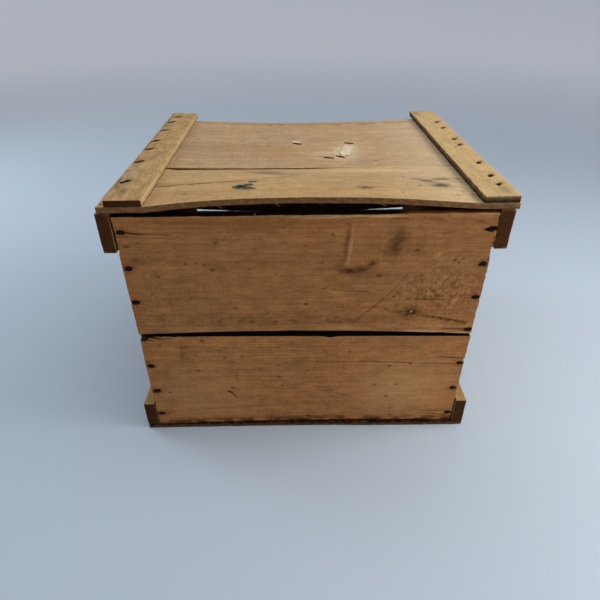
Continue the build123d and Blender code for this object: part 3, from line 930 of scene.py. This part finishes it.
def end_cleats():
    for end, outward in (("left", -1), ("right", 1)):
        for level, seed in (("top", 31), ("bottom", 37)):
            node = f"end_cleat_{end}_{level}"
            nails = f"cleat_nails_{end}_{level}"
            places = nail_places(nails, X)
            zones_a = [(y, 5.5) for y, z in places]
            zones_c = [(places[0][1], 5.5)]
            board = Board(node, Y, Z, outward, seed + outward, (2.6, 1.5), zones_a, zones_c)
            board.roughen_outline(edge=0.7, end=0.5)
            if node == "end_cleat_right_bottom":
                board.a = board.a - BOTTOM_SKEW * (1 - smooth(0, 30, board.a - board.low[0]))
            board.nails(nails, X)
            if level == "bottom":
                board.cover("stain_and_shade", 0.5 * board.end_grain)
                board.cover("black", 0.3 * board.end_grain)
            height = places[0][1]
            board.groove((138, height), (170, height + 3), 1.3, 1.2)
            board.groove((-60, height), (-20, height - 2), 1.1, 0.8)
            board.groove((-171, height + 6), (-140, height + 3), 1.1, 1.0)
            board.cover("pale", 0.12 * board.high_edge)
            board.rub_edges(0.4)
            board.finish(CLEAT_WOOD, "box", "cleat_wood", pith=(0.5, 9.0), warp=0.3)


def bottom_boards():
    for place, seed in (("front", 41), ("middle", 43), ("rear", 47)):
        nails = f"bottom_nails_{place}"
        places = nail_places(nails, Z)
        zones_a = ((-178.0, 5.0), (178.0, 5.0))
        zones_c = [(y, 5.0) for x, y in places if x < 0]
        node = f"bottom_board_{place}"
        board = Board(node, X, Y, -1, seed, (3.0, 2.4), zones_a, zones_c)
        if place == "front":
            forward = BOTTOM_SKEW * smooth(-60, 150, board.a)
            board.move_long_edges(board.low[1] - forward, np.full_like(board.a, board.high[1]))
        board.roughen_outline(edge=0.4, end=0.6)
        # painted shade: dark narrow faces in the gaps, and black on the inner face within about 14 mm of the
        # front and rear, where the gaps look in
        board.shade_long_edges(low=0.85, high=0.85)
        inside = smooth(0.5, 1.0, board.t / board.high[2])
        rim = np.minimum(board.c - FRONT_Y, -FRONT_Y - board.c)
        board.cover("black", 0.9 * inside * (1 - smooth(8, 14, rim)))
        board.nails(nails, Z)
        middle = (board.low[1] + board.high[1]) / 2
        board.knot((60 - seed, middle + 14), 5.0)
        board.groove((-150, middle - 12), (-40, middle - 8), 1.2, 0.6)
        board.finish(BOTTOM_WOOD, "box", "bottom_wood", pith=(0.5, 36.0), warp=0.0, lift=0.1)


# ================================================================ lid
LID_FRONT_BOW = 8.2  # how far the front board springs up at its front edge, and at the seam
LID_SEAM_BOW = 0.0
LID_SEAM_STEP = 1.3  # how far the front board has sunk below the rear one at the left of the seam
LID_ARCH = (-156.0, 169.0)  # the front board springs up between the two lid cleats
LID_SEAM_CURVE = 1.8  # how far the seam curves to the front in the middle
LID_FRONT_SAG = 0.7  # how far the rear board has sunk at the seam, and at its rear edge
LID_REAR_SAG = 1.8
LID_SAG_FROM = -61.0  # Y of the seam and of the rear edge
LID_SAG_TO = 157.0
LID_REAR_HOLLOW = 16.0  # how far the rear edge curves in at its middle


def lid_arch(a, lean=0.0):
    """1 in the middle between the lid cleats, 0 at and beyond them; lean moves the top to the left."""
    middle = (LID_ARCH[0] + LID_ARCH[1]) / 2
    half = (LID_ARCH[1] - LID_ARCH[0]) / 2
    place = (a - middle) / half
    return np.clip(1 - place**2, 0, 1) * (1 - lean * place)


def rear_sag(x, y):
    """How far the rear lid board has sunk at a place."""
    rearward = (y - LID_SAG_FROM) / (LID_SAG_TO - LID_SAG_FROM)
    return lid_arch(x) * (LID_FRONT_SAG + (LID_REAR_SAG - LID_FRONT_SAG) * rearward)


def back(distance):
    """Y of a place on the lid, given as its distance from the crate's front."""
    return FRONT_Y + distance


def lid_board_front():
    board = Board("lid_board_front", X, Y, 1, 53, (1.7, 1.5), zones_c=[(back(56), 2.5), (back(109), 3)])
    board.roughen_outline(edge=0.7, end=0.7)
    rearward = (board.c - board.low[1]) / (board.high[1] - board.low[1])
    lift = lid_arch(board.a, lean=0.18) * (LID_FRONT_BOW + (LID_SEAM_BOW - LID_FRONT_BOW) * rearward)
    sunk = smooth(-158, -140, board.a) * (1 - smooth(-10, 60, board.a))
    lift = lift - LID_SEAM_STEP * sunk * smooth(0.55, 1.0, rearward)
    # The CAD node's box holds the bow as well, so the flat board is squeezed to its own thickness.
    rear_low, rear_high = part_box("lid_board_rear")
    own = np.array([rear_low[Z], rear_high[Z]]) / MM
    board.t = own[0] + (board.t - board.low[2]) * (own[1] - own[0]) / (board.high[2] - board.low[2])
    # open seam at the left, closing towards the right
    opening = (1 - smooth(10, 60, board.a)) * (1 - smooth(0, 2.5, board.high[1] - board.c))
    board.c = board.c - 0.9 * opening - LID_SEAM_CURVE * lid_arch(board.a) * smooth(0.75, 1.0, rearward)
    # painted shade: black strip along the rear edge at the left, where the seam stands open
    rear_edge = board.high[1] - LID_SEAM_CURVE * lid_arch(board.a)
    seam = (1 - smooth(1.6, 3.2, rear_edge - board.c)) * (1 - smooth(30, 70, board.a))
    board.mark("black", 1.2 * seam)
    board.depth += 0.6 * seam
    board.cover("amber", 0.8 * board.low_edge)
    board.cover("stain_and_shade", 0.69 * board.low_edge)
    # painted shade on the seam face at the rear, faint on the front narrow face
    board.shade_long_edges(low=0.04, high=1.0)
    # painted light: the face grows paler towards the right, as if lit more from that side
    board.mark("pale", 0.5 * smooth(60, 180, board.a))
    # second split beside the seam, with a step down at the front of it
    line = ((-157, 53), (-125, 54), (-95, 56), (-63, 59), (-35, 67), (-10, 75))
    fades = (1.0, 1.0, 0.85, 0.6, 0.35)
    for start, end, fade in zip(line[:-1], line[1:], fades):
        width = 2.8 * fade + 0.8
        board.groove((start[0], back(start[1])), (end[0], back(end[1])), width, 0.8 * fade, 0.68 * fade)
    board.blot("stain_and_shade", (-38, back(88)), (24, 7), 0.5, -12)
    board.blot("pale", (-45, back(76)), (14, 3), 0.4, 6)
    # green ink blots
    blots = ((-65, 38, 7.5, 7.5, 1.15), (-57, 33, 7, 4, 0.95), (-58, 44, 6, 4.5, 0.95))
    for x, distance, length, width, amount in blots:
        away = board.spot((x, back(distance)), (length, width), 0, 0.5)
        board.mark("ink", amount * (1 - smooth(0.5, 1.3, away)))
    board.mark("ink", 0.9 * (1 - smooth(0.6, 1.2, board.spot((-55, back(54)), (4.6, 3), 0, 0.4))))
    board.blot("ink", (127, back(58)), (13, 4.2), 0.75, -24)
    board.blot("ink", (140, back(46)), (10, 7), 0.95)
    board.blot("ink", (145, back(64)), (12, 3.2), 0.85, 8)
    board.groove((150, back(58)), (172, back(56)), 1.2, 0.3, 0.45)
    # grey knot, pale band behind it, dots
    board.blot("stain_and_shade", (60, back(33)), (6.5, 5.5), 0.7, 0, 0.5)
    board.blot("ink", (60, back(33)), (5, 4), 0.65, 0, 0.5)
    board.blot("stain_and_shade", (63, back(35)), (17, 2.0), 0.45)
    board.blot("stain_and_shade", (50, back(28)), (6, 1.8), 0.35)
    board.blot("pale", (100, back(92)), (95, 9), 0.5, 0, 0.1)
    dots = ((118, 44), (158, 28), (166, 22), (150, 18), (95, 20), (-120, 24))
    board.dots([(x, back(distance)) for x, distance in dots], (1.6, 1.8), 0.8)
    board.blot("amber", (-120, back(24)), (40, 18), 0.3)
    board.blot("amber", (30, back(22)), (60, 12), 0.25)
    board.blot("stain_and_shade", (-193, back(8)), (6, 4), 0.9)
    board.finish(LID_WOOD, "lid", "lid_wood", tone=0.15, pith=(0.2, 60.0), warp=0.25, lift=lift)


def lid_board_rear():
    board = Board("lid_board_rear", X, Y, 1, 59, (1.9, 1.8))
    half = (board.high[0] - board.low[0]) / 2
    hollow = LID_REAR_HOLLOW * np.clip(1 - ((board.a - board.low[0] - half) / half) ** 2, 0, 1)
    board.move_long_edges(board.low[1] - LID_SEAM_CURVE * lid_arch(board.a), board.high[1] - hollow, 40.0)
    board.roughen_outline(edge=0.6, end=0.7)
    lift = -rear_sag(board.a, board.c)
    # painted shade on the narrow faces at the seam and along the rear edge
    board.shade_long_edges(low=1.0, high=0.6)
    # painted light: the face grows paler towards the right, as if lit more from that side
    board.mark("pale", 0.45 * smooth(70, 190, board.a))
    # redder wood and a row of dashes along the rear edge
    from_edge = board.high[1] - hollow - board.c
    board.mark("amber", 0.55 * np.exp(-(((from_edge - 7) / 6) ** 2)))
    dashes = smooth(-0.1, 0.6, wander(board.a / 9, 331))
    board.mark("stain_and_shade", 0.45 * np.exp(-(((from_edge - 15) / 2.5) ** 2)) * dashes)
    # rubbed patch, staple bruises
    board.blot("pale", (54, back(172)), (15, 32), 1.0, -14, 0.4)
    board.blot("pale", (30, back(160)), (24, 10), 0.35, 0, 0.4)
    board.blot("pale", (56, back(148)), (14, 10), 0.5, 0, 0.4)
    for start, end in STAPLES:
        board.groove((start[0], back(start[1])), (end[0], back(end[1])), 2.6, 0.1, 1.4, "black")
    board.blot("amber", (-30, back(170)), (30, 36), 0.4)
    board.blot("stain_and_shade", (-100, back(190)), (60, 30), 0.15)
    dots = ((-150, 141), (90, 230), (146, 296), (-60, 260), (10, 300), (-10, 228))
    board.dots([(x, back(distance)) for x, distance in dots], (1.7, 2.0), 0.7)
    board.finish(LID_WOOD, "lid", "lid_wood", tone=0.75, pith=(0.5, 80.0), warp=0.25, lift=lift)


def lid_cleats():
    # end, seed, size and turn of the nail marks, tone of the wood, darkness of the nail marks
    looks = (("left", 61, (6.2, 2.9), 50.0, 0.45, 1.4), ("right", 67, (5.4, 2.6), 38.0, 0.05, 0.8))
    for end, seed, size, turn, tone, dark in looks:
        node = f"lid_cleat_{end}"
        nails = f"lid_nails_{end}"
        places = nail_places(nails, Z)
        zones_a = [(y, 7.0) for x, y in places]
        zones_c = [(places[3][0], 8.0)]
        board = Board(node, Y, X, 1, seed, (2.0, 1.4), zones_a, zones_c)
        board.roughen_outline(edge=0.8, end=0.7)
        board.nails(nails, Z, size=size, depth=0.9, turn=turn, halo=1.15, dark=dark)
        if end == "left":
            chip = 2.2 * np.exp(-(((board.a - back(36)) / 5) ** 2))
            board.c = board.c + chip * (1 - smooth(0, 6, board.c - board.low[1]))
            front_end = board.end_grain & (board.a < 0)
            board.cover("stain_and_shade", 0.8 * front_end)
            board.cover("black", 0.3 * front_end)
            rim = 1 - smooth(0.5, 5.0, board.c - board.low[1])
            board.mark("stain_and_shade", 0.65 * rim * smooth(-0.6, 0.4, noise(board.a / 13, board.c / 5, 341)))
            board.blot("stain_and_shade", (back(36), -191), (6, 4), 0.8)
            board.blot("ink", (back(22), -180), (14, 8), 0.38)
            # painted light: pale inner side, the face turned towards the light
            board.cover("pale", 0.6 * board.high_edge)
            # painted shade: dark line along the foot of the inner side, where it meets the lid board
            board.cover("stain_and_shade", 0.8 * board.high_edge * (1 - smooth(0.6, 2.4, board.t - board.low[2])))
        else:
            # painted shade: the inner side darkened as a face in shade, with a black line along its foot
            # where it meets the lid board
            board.cover("dirt_and_shade", 0.75 * board.low_edge)
            board.cover("black", board.low_edge * (1 - smooth(1.0, 3.5, board.t - board.low[2])))
            # painted light: the whole outer face paler than on the left cleat, as if more brightly lit from
            # the right
            board.mark("pale", 0.38)
            board.groove((back(44), 184), (back(43), 200), 1.4, 0.3, 0.5)
            board.blot("ink", (back(16), 195), (14, 6), 0.3)
            board.blot("stain_and_shade", (back(330), 176), (14, 5), 0.4)
        board.rub_edges(0.3)
        board.finish(LID_CLEAT_WOOD, "lid", "lid_cleat_wood", tone=tone, pith=(0.3, 14.0), warp=0.3)


# ================================================================ nails
NAIL_SIDES = 14
NAIL_PROFILE = (  # radius and height below the top of the head
    (0.0, 0.05),
    (1.5, 0.0),
    (2.4, 0.12),
    (2.9, 0.45),
    (2.8, 0.85),
    (1.35, 1.05),
    (1.1, 1.6),
)
NAIL_POINT = 3.5
NAIL_SHANK_R = 1.1


def nail_shape(length, rng):
    """Points and faces of one worn nail: top of the head at the origin, point towards -Z."""
    profile = list(NAIL_PROFILE) + [(NAIL_SHANK_R, length - NAIL_POINT), (0.25, length)]
    turns = np.arange(NAIL_SIDES) * 2 * math.pi / NAIL_SIDES
    uneven = 1 + 0.05 * rng.standard_normal(NAIL_SIDES)
    points = [(0.0, 0.0, -profile[0][1])]
    for radius, depth in profile[1:]:
        for turn, factor in zip(turns, uneven):
            reach = radius * (factor if radius > NAIL_SHANK_R else 1.0)
            points.append((reach * math.cos(turn), reach * math.sin(turn), -depth))
    points.append((0.0, 0.0, -length))
    faces = []
    rows = len(profile) - 1
    for side in range(NAIL_SIDES):
        beside = (side + 1) % NAIL_SIDES
        faces.append((0, 1 + side, 1 + beside))
        for row in range(rows - 1):
            here = 1 + row * NAIL_SIDES
            below = here + NAIL_SIDES
            faces.append((here + side, below + side, below + beside, here + beside))
        last = 1 + (rows - 1) * NAIL_SIDES
        faces.append((last + side, len(points) - 1, last + beside))
    return np.array(points), faces


def nail_group(node, axis, outward, body, seed):
    """Replaces a CAD group of nails with worn ones in the same places."""
    rng = np.random.default_rng(seed)
    low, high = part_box(node)
    face = (high[axis] if outward > 0 else low[axis]) / MM
    length = (high[axis] - low[axis]) / MM
    direction = Vector([outward if i == axis else 0 for i in range(3)])
    shapes = []
    for place in nail_places(node, axis):
        points, faces = nail_shape(length, rng)
        tilt = Matrix.Rotation(0.02 * rng.standard_normal(), 3, "X")
        turn = direction.to_track_quat("Z", "Y").to_matrix() @ tilt
        centre = np.insert(np.array(place), axis, face)
        shapes.append(([list(centre + np.array(turn @ Vector(point))) for point in points], faces))
    points, faces = join_shapes(shapes)
    mesh_object(node + "_iron", points, faces, body, NAIL_IRON, (node,))


def all_nails():
    for level in ("upper", "lower"):
        nail_group(f"side_nails_front_{level}", Y, -1, "box", 101)
        nail_group(f"side_nails_rear_{level}", Y, 1, "box", 103)
    for end, outward in (("left", -1), ("right", 1)):
        nail_group(f"cleat_nails_{end}_top", X, outward, "box", 107)
        nail_group(f"cleat_nails_{end}_bottom", X, outward, "box", 109)
        nail_group(f"lid_nails_{end}", Z, 1, "lid", 113)
    for place in ("front", "middle", "rear"):
        nail_group(f"bottom_nails_{place}", Z, -1, "box", 127)


# ================================================================ staples, paper and splinters
STAPLES = (  # the two ends of each crown, as x and distance from the front
    ((55.5, 206.0), (66.7, 201.3)),
    ((25.2, 146.1), (36.8, 142.1)),
    ((40.2, 151.3), (50.7, 143.6)),
    ((-10.7, 206.6), (-1.3, 201.1)),
)
WIRE_R = 0.42
STAPLE_LEG = 3.6


def tube(path, radii, sides=8):
    """Closed tube of points and faces along a path."""
    path = np.asarray(path, float)
    points = []
    faces = []
    for index, centre in enumerate(path):
        ahead = path[min(index + 1, len(path) - 1)] - path[max(index - 1, 0)]
        frame_turn = Vector(ahead).to_track_quat("Z", "Y").to_matrix()
        for side in range(sides):
            angle = 2 * math.pi * side / sides
            offset = frame_turn @ Vector((math.cos(angle), math.sin(angle), 0))
            points.append(list(centre + radii[index] * np.array(offset)))
    for index in range(len(path) - 1):
        for side in range(sides):
            beside = (side + 1) % sides
            here = index * sides
            faces.append((here + side, here + beside, here + sides + beside, here + sides + side))
    faces.append(tuple(range(sides - 1, -1, -1)))
    last = (len(path) - 1) * sides
    faces.append(tuple(range(last, last + sides)))
    return points, faces


def lid_staples():
    """Bent wire staples, their crowns a little proud of the lid."""
    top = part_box("lid_board_rear")[1][Z] / MM
    rng = np.random.default_rng(131)
    shapes = []
    for start, end in STAPLES:
        start = np.array([start[0], back(start[1]), top - rear_sag(start[0], back(start[1]))])
        end = np.array([end[0], back(end[1]), top - rear_sag(end[0], back(end[1]))])
        proud = np.array([0, 0, 0.25 + 0.25 * rng.random()])
        legs = np.array([0, 0, -STAPLE_LEG])
        inward = 0.12 * (end - start)
        path = [start + legs, start + 0.5 * legs, start, start + 0.35 * inward + proud]
        path += [(start + end) / 2 + 1.3 * proud]
        path += [end - 0.35 * inward + proud, end, end + 0.5 * legs, end + legs]
        shapes.append(tube(path, [0.6 * WIRE_R] + [WIRE_R] * 7 + [0.6 * WIRE_R]))
    points, faces = join_shapes(shapes)
    mesh_object("lid_staples_wire", points, faces, "lid", STAPLE_WIRE, ("lid_staples",))


SCRAP_RINGS = 7
SCRAP_SIDES = 56
SCRAP_THICK = 0.22
SCRAP_BED = 0.32  # clear of the uneven wood below it
SCRAP_CURL = 0.25  # how far the torn edge may rise


def torn_scrap(centre, size, turn, seed):
    """Thin closed sheet of torn paper lying on the lid."""
    rings = SCRAP_RINGS
    sides = SCRAP_SIDES
    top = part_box("lid_board_rear")[1][Z] / MM
    angles = np.arange(sides) * 2 * math.pi / sides
    torn = 1 + 0.10 * wander(angles * 4, seed) + 0.07 * wander(angles * 11, seed + 1)
    square = 1 / np.maximum(np.abs(np.cos(angles)), np.abs(np.sin(angles))) ** 0.55
    turn = math.radians(turn)
    points = []
    for height in (SCRAP_THICK, 0.0):
        for ring in range(1, rings + 1):
            part = ring / rings
            u = part * size[0] / 2 * np.cos(angles) * square * torn
            v = part * size[1] / 2 * np.sin(angles) * square * torn
            x = centre[0] + u * math.cos(turn) - v * math.sin(turn)
            y = back(centre[1]) + u * math.sin(turn) + v * math.cos(turn)
            curl = SCRAP_BED + SCRAP_CURL * part**4 * (0.5 + 0.5 * noise(x / 5, y / 5, seed + 2))
            points += np.stack([x, y, top - rear_sag(x, y) + height + curl], axis=1).tolist()
    centre_top = len(points)
    middle = [centre[0], back(centre[1]), top + SCRAP_BED - rear_sag(centre[0], back(centre[1]))]
    points += [[middle[0], middle[1], middle[2] + SCRAP_THICK], middle]
    faces = []
    layer = rings * sides
    for side in range(sides):
        beside = (side + 1) % sides
        faces.append((centre_top, side, beside))
        faces.append((centre_top + 1, layer + beside, layer + side))
        for ring in range(rings - 1):
            here = ring * sides
            outer = here + sides
            quad = (here + side, outer + side, outer + beside, here + beside)
            under = (here + side, here + beside, outer + beside, outer + side)
            faces += [quad, tuple(layer + index for index in under)]
        rim = (rings - 1) * sides
        faces.append((rim + side, layer + rim + side, layer + rim + beside, rim + beside))
    return points, faces


def lid_paper():
    scraps = [
        torn_scrap((54.5, 171.5), (42.0, 13.0), 76.0, 141),
        torn_scrap((-7.5, 210.5), (13.0, 7.0), -30.0, 151),
    ]
    points, faces = join_shapes(scraps)
    mesh_object("lid_scraps_paper", points, faces, "lid", PAPER, ("lid_paper_scraps",))


SPLINTERS = (  # body, root, tip and thickness of each sliver of wood
    ("box", (-51.0, -171.4, 294.5), (-49.4, -172.0, 299.4), 0.55),
    ("box", (-12.0, -171.3, 290.0), (0.5, -172.1, 294.6), 0.60),
    ("box", (137.0, -171.4, 293.8), (142.5, -171.9, 297.0), 0.40),
    ("lid", (-84.0, -169.8, 305.6), (-80.5, -172.0, 304.2), 0.45),
    ("lid", (-30.0, -170.2, 307.9), (-25.5, -172.3, 306.3), 0.40),
    ("lid", (12.0, -170.0, 308.4), (15.0, -172.2, 306.8), 0.35),
    ("lid", (71.0, -169.9, 306.4), (76.0, -172.0, 304.8), 0.40),
)


def splinter_wood():
    """Fresh torn softwood."""
    graph = Graph("splinter_wood")
    fibres = graph.noise(graph.object_mm(), (2.4, 0.6, 0.6), detail=3.0)
    light = rgba((0.420, 0.230, 0.090))
    dark = rgba((0.240, 0.110, 0.040))
    colour = graph.mix(graph.step(fibres, 0.35, 0.65), light, dark)
    return graph.finish(colour, 0.85, fibres, bump_mm=0.05, **{"Specular IOR Level": 0.1})


def splinters():
    """Slivers lifted from the arrises of the front upper board and of the lid."""
    material = splinter_wood()
    for body, slot in (("box", "side_wood"), ("lid", "lid_wood")):
        shapes = []
        for where, root, tip, thick in SPLINTERS:
            if where == body:
                root = np.array(root)
                tip = np.array(tip)
                path = [root, root + 0.4 * (tip - root), root + 0.8 * (tip - root), tip]
                shapes.append(tube(path, [thick, 0.8 * thick, 0.45 * thick, 0.1 * thick], sides=5))
        points, faces = join_shapes(shapes)
        mesh_object(body + "_splinters", points, faces, body, material)


# ================================================================ camera, floor and light
CAMERA_PLACE = (-14.7, -600.2, 488.7)
CAMERA_YAW = 1.048  # degrees to the right of +Y
CAMERA_PITCH = 34.146  # degrees below the horizon
CAMERA_ROLL = 0.202
CAMERA_LENS = 28.87


def make_camera():
    data = bpy.data.cameras.new("camera")
    data.sensor_width = 36.0
    data.lens = CAMERA_LENS
    data.clip_start = 0.01
    data.clip_end = 60.0
    camera = bpy.data.objects.new("camera", data)
    bpy.context.scene.collection.objects.link(camera)
    yaw = Matrix.Rotation(math.radians(-CAMERA_YAW), 4, "Z")
    pitch = Matrix.Rotation(math.radians(90 - CAMERA_PITCH), 4, "X")
    roll = Matrix.Rotation(math.radians(-CAMERA_ROLL), 4, "Z")
    place = Matrix.Translation(Vector(CAMERA_PLACE) * MM)
    camera.matrix_world = place @ yaw @ pitch @ roll
    bpy.context.scene.camera = camera


FLOOR_FLAT_R = 5000.0
FLOOR_RISE_R = 4000.0
FLOOR_SIDES = 96


def make_floor():
    """Wide pale floor that curves up far away all round, like a studio cove."""
    rings = [(FLOOR_FLAT_R * part, 0.0) for part in (0.1, 0.4, 0.7, 1.0)]
    for step in range(1, 13):
        angle = step * math.pi / 24
        rings.append((FLOOR_FLAT_R + FLOOR_RISE_R * math.sin(angle), FLOOR_RISE_R * (1 - math.cos(angle))))
    points = [(0.0, 0.0, 0.0)]
    for radius, height in rings:
        for side in range(FLOOR_SIDES):
            angle = 2 * math.pi * side / FLOOR_SIDES
            points.append((MM * radius * math.cos(angle), MM * radius * math.sin(angle), MM * height))
    faces = [(0, 1 + side, 1 + (side + 1) % FLOOR_SIDES) for side in range(FLOOR_SIDES)]
    for ring in range(len(rings) - 1):
        here = 1 + ring * FLOOR_SIDES
        for side in range(FLOOR_SIDES):
            beside = (side + 1) % FLOOR_SIDES
            faces.append((here + side, here + FLOOR_SIDES + side, here + FLOOR_SIDES + beside, here + beside))
    mesh = bpy.data.meshes.new("floor")
    mesh.from_pydata(points, [], faces)
    mesh.shade_smooth()
    floor = bpy.data.objects.new("floor", mesh)
    bpy.context.scene.collection.objects.link(floor)
    graph = Graph("floor_paint")
    cloud = graph.noise(graph.object_mm(), (700, 700, 700), detail=2.0)
    colour = graph.mix(cloud, rgba((0.400, 0.465, 0.545)), rgba((0.430, 0.495, 0.575)))
    away = graph.node("ShaderNodeVectorMath", {0: graph.object_mm()}, operation="LENGTH").outputs["Value"]
    colour = graph.mix(graph.step(away, 800, 3500), colour, rgba((0.700, 0.730, 0.800)))
    mesh.materials.append(graph.finish(colour, 0.8, cloud, bump_mm=0.02, **{"Specular IOR Level": 0.2}))


def sun(name, towards, strength, softness, colour):
    """Soft light from the given direction."""
    data = bpy.data.lights.new(name, "SUN")
    data.energy = strength
    data.angle = math.radians(softness)
    data.color = colour
    light = bpy.data.objects.new(name, data)
    bpy.context.scene.collection.objects.link(light)
    light.rotation_euler = Vector(towards).to_track_quat("Z", "Y").to_euler()


def window(name, place, target, size, power, colour):
    """Nearby soft light, brightest on the side that faces it."""
    data = bpy.data.lights.new(name, "AREA")
    data.shape = "DISK"
    data.size = size
    data.energy = power
    data.color = colour
    light = bpy.data.objects.new(name, data)
    bpy.context.scene.collection.objects.link(light)
    light.location = place
    light.rotation_euler = (Vector(place) - Vector(target)).to_track_quat("Z", "Y").to_euler()
    light.visible_camera = False


def make_light():
    world = bpy.data.worlds.new("studio")
    world.use_nodes = True
    background = world.node_tree.nodes["Background"]
    background.inputs["Color"].default_value = (0.92, 0.96, 1.0, 1.0)
    background.inputs["Strength"].default_value = 0.39
    bpy.context.scene.world = world
    sun("key", (0.30, -0.10, 1.0), 0.75, 80, (1.0, 0.98, 0.95))
    window("window_right", (0.90, -0.20, 0.80), (0.1, 0.0, 0.25), 0.6, 7.5, (1.0, 0.98, 0.94))
    window("window_front", (0.60, -0.60, 0.22), (0.19, -0.17, 0.12), 0.35, 1.3, (1.0, 0.95, 0.86))
    window("window_left", (-1.3, 0.5, 0.9), (-0.3, 0.0, 0.0), 0.8, 8.5, (0.78, 0.90, 1.0))
    bpy.context.scene.view_settings.view_transform = "Standard"


# ================================================================ the crate
front_upper_board()
front_lower_board()
rear_upper_board()
rear_lower_board()
end_boards()
end_cleats()
bottom_boards()
lid_board_front()
lid_board_rear()
lid_cleats()
all_nails()
lid_staples()
lid_paper()
splinters()
make_camera()
make_floor()
make_light()
